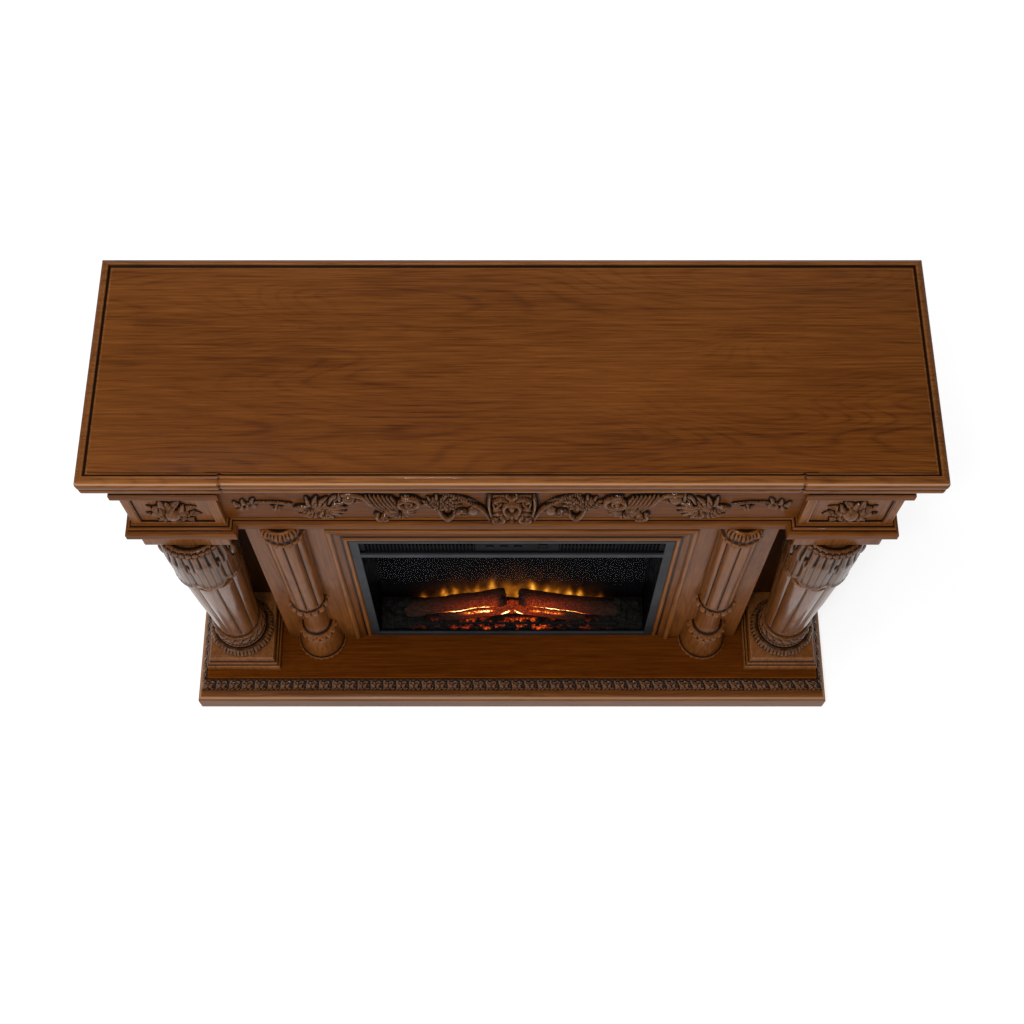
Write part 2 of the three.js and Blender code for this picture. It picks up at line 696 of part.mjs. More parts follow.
function makeFire() {
  const floor = CASING_LOW + SHEET + GAP;
  add("flame_screen", box(-300, 300, SCREEN_Y, SCREEN_Y + 3, floor, GLASS_TOP - 4), GLASS);

  // Two upper logs lean together behind a lower pair that is moulded as one piece.
  const upper = (radius) => log([243, -76, 155], [16, -62, 202], radius);
  const lower = (radius) => log([168, -84, 138], [-6, -83, 166], radius);
  const pair = (radius) => join(lower(radius), mirrored(lower(radius)));
  addPair("log_upper", upper(22), CHAR);
  add("log_lower", cut(pair(17), upper(22.5), mirrored(upper(22.5))), CHAR);

  // Ember bed: a mound that rises from the glass to the screen, with a seat for each log.
  const bed = new THREE.Shape();
  bed.moveTo(BED_FRONT, floor);
  bed.lineTo(SCREEN_Y - GAP, floor);
  bed.lineTo(SCREEN_Y - GAP, 146);
  bed.lineTo(-62, 154);
  bed.lineTo(-88, 142);
  bed.lineTo(BED_FRONT, 128);
  const seats = [upper(22.5), mirrored(upper(22.5)), pair(17.5)];
  const feet = POST_XS.map((x) => box(x - 5.3, x + 5.3, BED_FRONT - 9, BED_FRONT + 3.3, 131.7, 172));
  add("ember_bed", cut(barYZ(bed, -303, 303), ...seats, ...feet), EMBER);

  // Fire grate: a bar across the front of the logs on four posts.
  const bar = box(-240, 240, BED_FRONT - 2, BED_FRONT + 2, 146, 151);
  const posts = POST_XS.map((x) => box(x - 5, x + 5, BED_FRONT - 3, BED_FRONT + 3, 132, 168));
  add("fire_grate", join(bar, ...posts), BLACK_METAL);

  // Flame rotor: an axle with reflector blades round it.
  const axle = new THREE.CylinderGeometry(AXLE_R, AXLE_R, 556, 12).rotateZ(Math.PI / 2);
  const blades = Array.from({ length: 4 }, (_, i) =>
    new THREE.BoxGeometry(520, ROTOR_R * 2, 1.2).rotateX((i * Math.PI) / 4),
  );
  add("flame_rotor", join(axle, ...blades).translate(-6, ROTOR_Y, ROTOR_Z), GALVANISED);

  const motor = new THREE.CylinderGeometry(17, 17, 22, 20).rotateZ(Math.PI / 2);
  const bracket = box(9, 15, -20, 20, floor - ROTOR_Z, 20);
  add("rotor_motor", join(motor, bracket).translate(286, ROTOR_Y, ROTOR_Z), GALVANISED);

  add("led_board", box(-270, 270, SCREEN_Y + 12, SCREEN_Y + 30, floor, floor + 5), CIRCUIT);
}

// ---------- insert: heater ----------
function makeHeater() {
  const low = GLASS_TOP + 2;
  const high = CASING_TOP - SHEET - GAP;
  const front = INSERT_FACE + 22;
  const back = CASING_BACK - 22;
  const shell = box(-215, 215, front, back, low, high);
  const duct = box(-212, 212, front - 10, back - 3, low + 3, high - 3);
  const inlet = box(-190, 190, back - 10, back + 10, 612, 660);
  add("heater_housing", cut(shell, duct, inlet), GALVANISED);

  const fins = Array.from({ length: 15 }, (_, i) => box(-142 + i * 20, -139 + i * 20, -94, -70, 608, 664));
  const tubes = [618, 636, 654].map((z) => box(-150, 150, -85, -79, z - 3, z + 3));
  add("heating_element", join(...tubes, ...fins), COPPER);

  // Cross-flow wheel: end discs joined by a ring of blades on one axle.
  const length = 300;
  const blades = Array.from({ length: 16 }, (_, i) =>
    new THREE.BoxGeometry(length - 4, 1.4, 7)
      .rotateX(0.5)
      .translate(0, 0, BLOWER_R - 4.5)
      .rotateX((i * Math.PI) / 8),
  );
  const disc = (x) =>
    new THREE.CylinderGeometry(BLOWER_R, BLOWER_R, 3, 24).rotateZ(Math.PI / 2).translate(x, 0, 0);
  const shaft = new THREE.CylinderGeometry(AXLE_R, AXLE_R, length + 24, 12).rotateZ(Math.PI / 2);
  const wheel = join(shaft, disc(-length / 2 + 1), disc(0), disc(length / 2 - 1), ...blades);
  add("blower_wheel", wheel.translate(-20, BLOWER_Y, BLOWER_Z), DARK_PLASTIC);

  const motor = new THREE.CylinderGeometry(22, 22, 40, 20).rotateZ(Math.PI / 2);
  const foot = box(-15, 15, -12, 12, -36.7, -15);
  add("blower_motor", join(motor, foot).translate(168, BLOWER_Y, BLOWER_Z), GALVANISED);

  const gland = new THREE.CylinderGeometry(9, 9, 22, 16);
  const collar = new THREE.CylinderGeometry(14, 14, 6, 6).translate(0, 3.4, 0);
  add("cable_gland", join(gland, collar).translate(240, CASING_BACK, 150), DARK_PLASTIC);
}

makeShelf();
makeMouldings();
makeFrieze();
makeBlocks();
makeColumns();
makeInnerColumns();
makeBoards();
makeTrim();
makeHearth();
makeInsertShell();
makeFire();
makeHeater();

export default fireplace;
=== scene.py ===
"""Looks of a carved mantel with an electric fire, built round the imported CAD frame, in millimetres."""

import json
import math

import bmesh
import bpy
import numpy as np
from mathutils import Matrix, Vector, noise

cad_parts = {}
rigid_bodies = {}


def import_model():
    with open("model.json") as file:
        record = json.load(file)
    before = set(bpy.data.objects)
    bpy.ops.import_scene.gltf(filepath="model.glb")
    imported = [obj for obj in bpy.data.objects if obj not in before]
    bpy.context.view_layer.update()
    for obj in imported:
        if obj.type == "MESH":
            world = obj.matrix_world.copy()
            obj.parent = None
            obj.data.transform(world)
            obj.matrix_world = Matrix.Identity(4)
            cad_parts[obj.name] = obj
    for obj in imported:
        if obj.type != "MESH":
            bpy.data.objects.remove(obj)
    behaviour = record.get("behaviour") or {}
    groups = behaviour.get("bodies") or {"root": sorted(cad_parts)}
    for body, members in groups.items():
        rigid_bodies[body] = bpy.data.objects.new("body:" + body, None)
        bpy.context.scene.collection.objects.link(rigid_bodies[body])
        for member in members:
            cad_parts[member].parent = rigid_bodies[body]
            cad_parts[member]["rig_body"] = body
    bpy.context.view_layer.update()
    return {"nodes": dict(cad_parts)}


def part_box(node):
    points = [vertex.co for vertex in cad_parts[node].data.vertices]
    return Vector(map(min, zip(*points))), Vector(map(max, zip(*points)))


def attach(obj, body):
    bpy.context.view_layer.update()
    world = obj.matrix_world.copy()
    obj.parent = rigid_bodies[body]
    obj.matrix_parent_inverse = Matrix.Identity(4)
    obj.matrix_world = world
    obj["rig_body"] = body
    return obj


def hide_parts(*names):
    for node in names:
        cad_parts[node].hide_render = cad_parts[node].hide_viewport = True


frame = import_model()

MM = 0.001
BACK = 265.0
SHELF_HALF = 749.8
SHELF_FRONT = -191.0
SHELF_FOOT = 1055.0
SHELF_TOP = 1100.0
RIM = 24.0
BLOCK_FACE = -162.0
BLOCK_IN = 530.0
BLOCK_OUT = 703.0
FRIEZE_FACE = -141.0
FRIEZE_FIELD = -149.5
PILASTER_FACE = -125.0
ARCHITRAVE_FOOT = 821.0
COLUMN = (617.0, -123.0)
INNER = (440.0, -129.0)
INSERT_FACE = -123.0
ON_HEARTH = 105.4
ON_PLINTH = 158.4
HEARTH_HALF = 703.0
HEARTH_FRONT = -226.0
NOSE_STEP = 500.0
# Levels for the pale painted highlight lines on the shelf nose and the hearth slab.
NOSE_HIGHLIGHT = -0.93
SLAB_HIGHLIGHT = -0.88
# Near-black painted shade for hollows, and the colour of the pale painted highlight lines.
HOLLOW_SHADE = (0.006, 0.0028, 0.0014)
HIGHLIGHT_LINE = (0.42, 0.225, 0.12)


# ---------- shaders ----------
class Graph:
    """A material's node tree, with short calls for its usual nodes."""

    def __init__(self, name):
        self.material = bpy.data.materials.new(name)
        self.material.use_nodes = True
        self.tree = self.material.node_tree
        self.tree.nodes.clear()
        self.output = self.tree.nodes.new("ShaderNodeOutputMaterial")

    def node(self, kind, inputs=None, **props):
        made = self.tree.nodes.new("ShaderNode" + kind)
        for key, value in props.items():
            setattr(made, key, value)
        for key, value in (inputs or {}).items():
            if isinstance(value, bpy.types.NodeSocket):
                self.tree.links.new(value, made.inputs[key])
            else:
                made.inputs[key].default_value = value
        return made

    def math(self, operation, a, b=0.0, clamp=False):
        return self.node("Math", {0: a, 1: b}, operation=operation, use_clamp=clamp).outputs[0]

    def noise(self, vector, scale=1.0, detail=2.0, roughness=0.5, distortion=0.0):
        values = {
            "Vector": vector, "Scale": scale, "Detail": detail,
            "Roughness": roughness, "Distortion": distortion,
        }
        return self.node("TexNoise", values).outputs[0]

    def stretched(self, vector, scale, turn=(0.0, 0.0, 0.0)):
        return self.node("Mapping", {"Vector": vector, "Scale": scale, "Rotation": turn}).outputs[0]

    def place(self):
        return self.node("TexCoord").outputs["Object"]

    def span(self, value, low, high, to_low=0.0, to_high=1.0):
        values = {"Value": value, "From Min": low, "From Max": high, "To Min": to_low, "To Max": to_high}
        return self.node("MapRange", values).outputs[0]

    def ramp(self, value, stops):
        made = self.node("ValToRGB", {"Fac": value})
        points = made.color_ramp.elements
        while len(points) < len(stops):
            points.new(0.5)
        for point, (position, colour) in zip(points, stops):
            point.position = position
            point.color = (*colour, 1.0)
        return made.outputs[0]

    def mix(self, factor, a, b):
        made = self.node("Mix", data_type="RGBA")
        for key, value in ((0, factor), (6, a), (7, b)):
            if isinstance(value, bpy.types.NodeSocket):
                self.tree.links.new(value, made.inputs[key])
            elif key == 0:
                made.inputs[key].default_value = value
            else:
                made.inputs[key].default_value = (*value, 1.0)
        return made.outputs[2]

    def bump(self, height, strength, distance):
        return self.node("Bump", {"Height": height, "Strength": strength, "Distance": distance}).outputs[0]

    def attribute(self, name):
        return self.node("Attribute", attribute_name=name).outputs["Fac"]

    def principled(self, **inputs):
        values = {key.replace("_", " "): value for key, value in inputs.items()}
        made = self.node("BsdfPrincipled", values)
        self.tree.links.new(made.outputs[0], self.output.inputs[0])
        return self.material


def wood(name, grain, stops, figure=0.12, roughness=0.36, coat=0.1, gloss=0.15):
    """Stained, lacquered wood with its grain along one axis.

    A per-point attribute is above 0 in hollows, where near-black shade is painted in, and below 0 on crests
    and edges, where a paler highlight is painted in, down to a pale painted highlight line.
    """
    g = Graph(name)
    turn = {"x": (0, 0, 0), "y": (0, 0, math.pi / 2), "z": (0, math.pi / 2, 0)}[grain]
    place = g.stretched(g.place(), (1, 1, 1), turn)
    slow = g.noise(g.stretched(place, (1.0, 5.6, 5.6)), detail=2.0, roughness=0.35, distortion=0.15)
    wave = g.math("MULTIPLY_ADD", g.math("SINE", g.math("MULTIPLY", slow, 270.0)), 0.5)
    wave.node.inputs[2].default_value = 0.5
    lines = g.math("POWER", wave, 5.0)
    shown = g.span(g.noise(g.stretched(place, (1.3, 5, 5)), detail=2), 0.42, 0.62, 0.1, 1.0)
    patches = g.noise(g.stretched(place, (1.8, 8, 8)), detail=3)
    streaks = g.noise(g.stretched(place, (3.5, 95, 95)), detail=3, roughness=0.6)
    threads = g.noise(g.stretched(place, (8, 240, 240)), detail=2, roughness=0.6)
    fibres = g.noise(g.stretched(place, (18, 560, 560)), detail=2)
    pores = g.noise(g.stretched(place, (40, 1100, 1100)), detail=1)
    tone = g.math("MULTIPLY_ADD", g.math("MULTIPLY", lines, shown), -figure)
    tone.node.inputs[2].default_value = 0.5 + figure * 0.2
    for value, share in ((patches, 0.42), (streaks, 0.35), (threads, 0.8), (fibres, 0.45)):
        tone = g.math("ADD", tone, g.math("MULTIPLY", g.math("SUBTRACT", value, 0.5), share))
    colour = g.ramp(tone, stops)
    colour = g.mix(g.span(pores, 0.6, 0.72, 0.0, 0.35), colour, tuple(c * 0.5 for c in stops[0][1]))
    glaze = g.attribute("glaze")
    # Painted shade: hollows darkened towards near black.
    colour = g.mix(g.span(glaze, 0.0, 0.27, 0.0, 0.97), colour, HOLLOW_SHADE)
    # Painted highlight: crests and edges drawn in a paler copy of the wood.
    painted_highlight = g.ramp(tone, tinted(stops, HIGHLIGHT_TINT))
    colour = g.mix(g.span(glaze, -0.04, -0.6, 0.0, 0.85), colour, painted_highlight)
    # Painted highlight line: the palest marks turn to a pale flat colour.
    colour = g.mix(g.span(glaze, -0.6, -0.95, 0.0, 1.0), colour, HIGHLIGHT_LINE)
    rough = g.span(streaks, 0.3, 0.7, roughness - 0.05, roughness + 0.07)
    lacquer = g.span(glaze, 0.0, 0.2, coat, 0.0) if coat > 0 else 0.0
    return g.principled(
        Base_Color=colour, Roughness=rough, Normal=g.bump(fibres, 0.1, 0.0004), Coat_Weight=lacquer,
        Coat_Roughness=0.09, Specular_IOR_Level=gloss,
    )


BROWN = [(0.2, (0.055, 0.0140, 0.0022)), (0.5, (0.111, 0.0315, 0.0045)), (0.8, (0.157, 0.0470, 0.0072))]
REDDISH = [(0.2, (0.062, 0.0180, 0.0035)), (0.5, (0.132, 0.0415, 0.0080)), (0.8, (0.195, 0.0660, 0.0140))]
UMBER = [(0.2, (0.042, 0.0140, 0.0045)), (0.5, (0.100, 0.0350, 0.0100)), (0.8, (0.170, 0.0640, 0.0200))]



def tinted(stops, factors):
    return [(place, tuple(c * k for c, k in zip(colour, factors))) for place, colour in stops]


# Darker copy of the brown wood for the recessed wing panels: painted shade for the recess behind the columns.
SHADE_PAINTED_BROWN = tinted(BROWN, (0.4, 0.4, 0.4))
WARM = tinted(REDDISH, (1.15, 1.15, 1.15))
HEARTH = tinted(BROWN, (0.87, 0.75, 0.5))
HIGHLIGHT_TINT = (1.5, 1.75, 2.4)

top_wood = wood("lacquered_top", "x", BROWN, figure=0.15, roughness=0.45, coat=0.02, gloss=0.05)
hearth_wood = wood("hearth_top", "x", HEARTH, figure=0.08, roughness=0.5, coat=0.0, gloss=0.0)
nose_wood = wood("nose_wood", "x", REDDISH, roughness=0.34, coat=0.16, gloss=0.03)
long_wood = wood("stained_wood_long", "x", BROWN, coat=0.04, gloss=0.03)
head_wood = wood("stained_wood_head", "x", WARM, coat=0.04, gloss=0.03)
upright_wood = wood("stained_wood_upright", "z", WARM, coat=0.1, gloss=0.08)
shade_painted_wood = wood("recessed_wood", "z", SHADE_PAINTED_BROWN)
column_wood = wood("column_wood", "z", REDDISH, roughness=0.32, coat=0.4, gloss=0.2)
carved_long = wood("carved_wood_long", "x", UMBER, figure=0.05, roughness=0.28, coat=0.35, gloss=0.04)
carved_upright = wood("carved_wood_upright", "z", UMBER, figure=0.05, roughness=0.28, coat=0.35, gloss=0.04)


def board_stuff():
    """Raw pressed board on the back."""
    g = Graph("raw_board")
    place = g.place()
    chips = g.node("TexVoronoi", {"Vector": place, "Scale": 260.0}).outputs["Color"]
    shade = g.noise(place, 12, 4)
    grey = g.node("RGBToBW", {"Color": chips}).outputs[0]
    tone = g.math("ADD", g.math("MULTIPLY", grey, 0.45), g.math("MULTIPLY", shade, 0.55))
    colour = g.ramp(tone, [(0.2, (0.16, 0.095, 0.05)), (0.5, (0.30, 0.19, 0.105)), (0.8, (0.42, 0.29, 0.17))])
    return g.principled(Base_Color=colour, Roughness=0.82, Normal=g.bump(grey, 0.35, 0.0006))


def painted(name, colour, roughness, metallic=0.0, grit=900.0, coat=0.0, gloss=0.12):
    """Smooth paint or moulded plastic with a faint grit and uneven gloss."""
    g = Graph(name)
    place = g.place()
    cloud = g.noise(place, 9, 3)
    grain = g.noise(place, grit, 2)
    darker = tuple(c * 0.8 for c in colour)
    lighter = tuple(c * 1.2 for c in colour)
    shade = g.mix(g.span(cloud, 0.35, 0.65), darker, lighter)
    rough = g.span(g.noise(place, 30, 3), 0.3, 0.7, roughness - 0.05, roughness + 0.06)
    return g.principled(
        Base_Color=shade, Roughness=rough, Metallic=metallic, Normal=g.bump(grain, 0.12, 0.0004),
        Coat_Weight=coat, Coat_Roughness=0.2, Specular_IOR_Level=gloss,
    )


def zinc():
    """Galvanised sheet with its spangle, blackened where it lines the firebox."""
    g = Graph("zinc_sheet")
    place = g.place()
    depth = g.node("SeparateXYZ", {0: place}).outputs["Y"]
    open_side = g.span(depth, 0.060, 0.064)
    cells = g.node("TexVoronoi", {"Vector": place, "Scale": 95.0}).outputs["Color"]
    grey = g.node("RGBToBW", {"Color": cells}).outputs[0]
    colour = g.ramp(grey, [(0.1, (0.36, 0.37, 0.38)), (0.9, (0.58, 0.59, 0.60))])
    colour = g.mix(open_side, (0.004, 0.004, 0.004), colour)
    rough = g.span(grey, 0.0, 1.0, 0.28, 0.5)
    return g.principled(
        Base_Color=colour, Roughness=rough, Metallic=g.math("MULTIPLY", open_side, 0.9),
        Specular_IOR_Level=0.02,
    )


def window_glass():
    """Thin clear glass: what is behind it shows, with a faint gloss."""
    g = Graph("clear_glass")
    g.material.surface_render_method = "BLENDED"
    smear = g.noise(g.place(), 14, 3)
    gloss = g.node("BsdfGlossy", {"Color": (1, 1, 1, 1), "Roughness": g.span(smear, 0.3, 0.8, 0.03, 0.1)})
    clear = g.node("BsdfTransparent", {"Color": (0.93, 0.95, 0.95, 1)})
    edge = g.node("LayerWeight", {"Blend": 0.5}).outputs["Facing"]
    share = g.math("MULTIPLY", edge, 0.004)
    mixed = g.node("MixShader", {0: share, 1: clear.outputs[0], 2: gloss.outputs[0]})
    g.tree.links.new(mixed.outputs[0], g.output.inputs[0])
    return g.material


def glowing(name, stops, glow_stops, strength, cracks, roughness=0.9):
    """Charred or ashy resin. The attribute glow says where light comes through, broken up by cracks."""
    g = Graph(name)
    place = g.place()
    bark = g.noise(g.stretched(place, (90, 260, 260)), detail=5, roughness=0.65)
    grain = g.noise(place, 420, 4, 0.7)
    tone = g.math("ADD", g.math("MULTIPLY", bark, 0.6), g.math("MULTIPLY", grain, 0.4))
    colour = g.ramp(tone, stops)
    glow = g.attribute("glow")
    broken = g.span(g.noise(place, cracks, 5, 0.72), 0.36, 0.66)
    open_crack = g.span(glow, 0.55, 1.0, 0.0, 0.75)
    level = g.math("MULTIPLY", glow, g.math("ADD", g.math("MULTIPLY", broken, 1.1), 0.12))
    filled = g.span(broken, 0.0, 0.7, 0.35, 1.0)
    level = g.math("ADD", level, g.math("MULTIPLY", open_crack, filled), clamp=True)
    light = g.ramp(level, glow_stops)
    power = g.math("MULTIPLY", g.math("POWER", level, 1.6), strength)
    return g.principled(
        Base_Color=colour, Roughness=roughness, Normal=g.bump(tone, 0.8, 0.003),
        Specular_IOR_Level=0.05, Emission_Color=light, Emission_Strength=power,
    )


black_metal = painted("black_metal", (0.026, 0.028, 0.032), 0.5, 0.1)
louvre_black = painted("louvre_black", (0.004, 0.004, 0.005), 0.6, gloss=0.04)
dark_plastic = painted("dark_plastic", (0.004, 0.004, 0.005), 0.55, gloss=0.04)
wheel_plastic = painted("wheel_plastic", (0.022, 0.022, 0.024), 0.55)
gland_plastic = painted("gland_plastic", (0.025, 0.025, 0.027), 0.5, grit=500)
board_green = painted("circuit_green", (0.02, 0.12, 0.05), 0.4, coat=0.4)
heater_metal = painted("heater_metal", (0.11, 0.08, 0.065), 0.45, 0.85)
galvanised = zinc()
raw_board = board_stuff()
clear_glass = window_glass()


# ---------- mesh helpers ----------
def set_attribute(mesh, key, values):
    mesh.attributes.new(key, "FLOAT", "POINT").data.foreach_set("value", np.asarray(values, np.float32))


def shade_and_highlight_from_shape(mesh, strength, passes):
    """How hollow (above 0, drawn as painted shade) or how sharp a crest (below 0, drawn as painted highlight)
    each point is, from the way its neighbours lie round it.
    """
    count = len(mesh.vertices)
    place = np.empty(count * 3, np.float32)
    mesh.vertices.foreach_get("co", place)
    place = place.reshape(-1, 3)
    normal = np.empty(count * 3, np.float32)
    mesh.vertices.foreach_get("normal", normal)
    normal = normal.reshape(-1, 3)
    ends = np.empty(len(mesh.edges) * 2, np.int32)
    mesh.edges.foreach_get("vertices", ends)
    a, b = ends.reshape(-1, 2).T
    step = place[b] - place[a]
    length = np.maximum(np.linalg.norm(step, axis=1), 1e-9)
    total = np.bincount(a, (step * normal[a]).sum(1) / length, count)
    total -= np.bincount(b, (step * normal[b]).sum(1) / length, count)
    links = np.maximum(np.bincount(a, minlength=count) + np.bincount(b, minlength=count), 1)
    hollow = total / links
    for _ in range(passes):
        near = np.bincount(a, hollow[b], count) + np.bincount(b, hollow[a], count)
        hollow = 0.5 * hollow + 0.5 * near / links
    return np.clip(hollow * strength, -1, 1).astype(np.float32)


def piece(
    name, verts, faces, material, slot, replaces=(), sharp=38.0, glaze=3.0, extra=None, solid=True
):
    """A mesh in the row frame that rides on the mantel. verts are in millimetres."""
    mesh = bpy.data.meshes.new(name)
    mesh.from_pydata((np.asarray(verts, float) * MM).tolist(), [], [list(map(int, f)) for f in faces])
    for key, data in (extra or {}).items():
        set_attribute(mesh, key, data)
    if solid:
        bm = bmesh.new()
        bm.from_mesh(mesh)
        bmesh.ops.remove_doubles(bm, verts=bm.verts, dist=0.02 * MM)
        bmesh.ops.recalc_face_normals(bm, faces=bm.faces)
        bm.to_mesh(mesh)
        bm.free()
    mesh.shade_smooth()
    if sharp < 180:
        mesh.set_sharp_from_angle(angle=math.radians(sharp))
    if extra is None:
        set_attribute(mesh, "glaze", shade_and_highlight_from_shape(mesh, glaze, passes=1))
    mesh.materials.append(material)
    made = bpy.data.objects.new(name, mesh)
    bpy.context.scene.collection.objects.link(made)
    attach(made, "mantel")
    if replaces:
        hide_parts(*replaces)
    return made


def grid_faces(rows, columns, wrap=False):
    """Quads of a grid of points stored row by row."""
    across = columns if wrap else columns - 1
    i, j = np.meshgrid(np.arange(rows - 1), np.arange(across), indexing="ij")
    k = (j + 1) % columns
    quads = np.stack([i * columns + j, i * columns + k, (i + 1) * columns + k, (i + 1) * columns + j], -1)
    return quads.reshape(-1, 4)


def mirrored(verts):
    return np.asarray(verts, float) * (-1, 1, 1)


def pair(name, verts, faces, material, slot, nodes=(), **options):
    """A piece on the right and its mirror image on the left."""
    turned_over = [list(f)[::-1] for f in faces]
    for side, points, sides in (("_right", verts, faces), ("_left", mirrored(verts), turned_over)):
        piece(name + side, points, sides, material, slot, [n + side for n in nodes], **options)


def softened(points, radius, steps=3, closed=True):
    """A polyline with its corners rounded. A point may carry its own radius as a third number."""
    out = []
    n = len(points)
    for i, point in enumerate(points):
        here = np.array(point[:2], float)
        if not closed and i in (0, n - 1):
            out.append(tuple(here))
            continue
        own = point[2] if len(point) > 2 else radius
        before = np.array(points[i - 1][:2], float) - here
        after = np.array(points[(i + 1) % n][:2], float) - here
        reach = min(own, 0.45 * np.linalg.norm(before), 0.45 * np.linalg.norm(after))
        start = here + before / np.linalg.norm(before) * reach
        end = here + after / np.linalg.norm(after) * reach
        for t in np.linspace(0, 1, steps + 1):
            out.append(tuple((1 - t) ** 2 * start + 2 * t * (1 - t) * here + t * t * end))
    return out


def offset_outline(path, distance, closed, radius=0.0, rounded=()):
    """The outline moved outwards, mitred. The corners listed in rounded keep a round of that radius."""
    path = np.asarray(path, float)
    n = len(path)

    def normal(a, b):
        v = np.array([b[1] - a[1], a[0] - b[0]])
        return v / np.linalg.norm(v)

    out = []
    for i in range(n):
        before = normal(path[i - 1], path[i]) if closed or i > 0 else None
        after = normal(path[i], path[(i + 1) % n]) if closed or i < n - 1 else None
        first = before if before is not None else after
        last = after if after is not None else before
        m = first + last
        corner = path[i] + m * 2 * distance / (m @ m)
        if i not in rounded:
            out.append(corner)
            continue
        r = max(radius + distance, 0.02)
        centre = corner - m * 2 * r / (m @ m)
        a0 = math.atan2(first[1], first[0])
        turn = math.atan2(last[1], last[0]) - a0
        turn = (turn + math.pi) % (2 * math.pi) - math.pi
        for t in np.linspace(0, 1, 9):
            out.append(centre + r * np.array([math.cos(a0 + turn * t), math.sin(a0 + turn * t)]))
    return np.array(out)


def section_shade_and_highlight(section, strength=1.7):
    """Above 0 where a closed section turns inwards, for painted shade, below 0 on its outer corners, for
    painted highlight.
    """
    p = np.asarray(section, float)
    before = p - np.roll(p, 1, 0)
    after = np.roll(p, -1, 0) - p
    cross = before[:, 0] * after[:, 1] - before[:, 1] * after[:, 0]
    size = np.linalg.norm(before, axis=1) * np.linalg.norm(after, axis=1)
    area = (p[:, 0] * np.roll(p[:, 1], -1) - np.roll(p[:, 0], -1) * p[:, 1]).sum()
    turn = -np.sign(area) * cross / np.maximum(size, 1e-9)
    return np.clip(np.where(turn > 0, turn * strength, turn * 1.5), -0.6, 1)


def sweep(path, section, closed=False, radius=0.0, rounded=()):
    """A [projection, height] section run along an outline seen from above, mitred at its corners."""
    rings = [offset_outline(path, u, closed, radius, rounded) for u, _ in section]
    columns = len(rings[0])
    verts = np.array([[x, y, z] for ring, (_, z) in zip(rings, section) for x, y in ring])
    faces = [list(f) for f in grid_faces(len(section) + 1, columns, wrap=closed) % len(verts)]
    if not closed:
        faces += [list(range(0, len(verts), columns)), list(range(columns - 1, len(verts), columns))[::-1]]
    return verts, faces, np.repeat(section_shade_and_highlight(section), columns)


def moulding(name, path, section, material, replaces=(), both_sides=False, **options):
    """A swept moulding as a piece, with painted shade in its quirks and painted highlight on its outer
    corners.
    """
    verts, faces, glaze = sweep(path, section, **options)
    make = pair if both_sides else piece
    make(name, verts, faces, material, "stained_wood", replaces, extra={"glaze": glaze})


def bevelled(node, material, slot, width=1.5, segments=2, highlight_band=()):
    """A CAD board with its edges eased, in place of the sharp one.

    An optional pair of depths below the top marks a band painted as a pale highlight line.
    """
    source = frame["nodes"][node]
    bm = bmesh.new()
    bm.from_mesh(source.data)
    bmesh.ops.remove_doubles(bm, verts=bm.verts, dist=0.02 * MM)
    bmesh.ops.dissolve_limit(bm, angle_limit=math.radians(1), verts=bm.verts, edges=bm.edges)
    hard = [e for e in bm.edges if len(e.link_faces) == 2 and e.calc_face_angle(0) > math.radians(25)]
    bmesh.ops.bevel(
        bm, geom=hard, offset=width * MM, segments=segments, profile=0.6, affect="EDGES", clamp_overlap=True
    )
    reach = 5.0 * MM
    wide = [f for f in bm.faces if len(f.verts) == 4 and min(e.calc_length() for e in f.edges) > 3 * reach]
    bmesh.ops.inset_individual(bm, faces=wide, thickness=reach, use_even_offset=True)
    mesh = bpy.data.meshes.new(node + "_eased")
    bm.to_mesh(mesh)
    bm.free()
    mesh.shade_smooth()
    mesh.set_sharp_from_angle(angle=math.radians(40))
    # Painted highlight along the eased edges.
    values = shade_and_highlight_from_shape(mesh, strength=2.0, passes=0)
    if highlight_band:
        # Pale painted highlight line in a band just under the top edge.
        heights = np.array([v.co.z for v in mesh.vertices]) / MM
        below = heights.max() - heights
        values = np.where((below > highlight_band[0]) & (below < highlight_band[1]), SLAB_HIGHLIGHT, values)
    set_attribute(mesh, "glaze", values)
    mesh.materials.append(material)
    made = bpy.data.objects.new(mesh.name, mesh)
    bpy.context.scene.collection.objects.link(made)
    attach(made, source["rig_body"])
    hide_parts(node)
    return made


def finish_node(node, material):
    """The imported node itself, with a better material."""
    target = frame["nodes"][node]
    target.data.materials.clear()
    target.data.materials.append(material)


def both(function, node, *arguments, **options):
    for side in ("_right", "_left"):
        function(node + side, *arguments, **options)


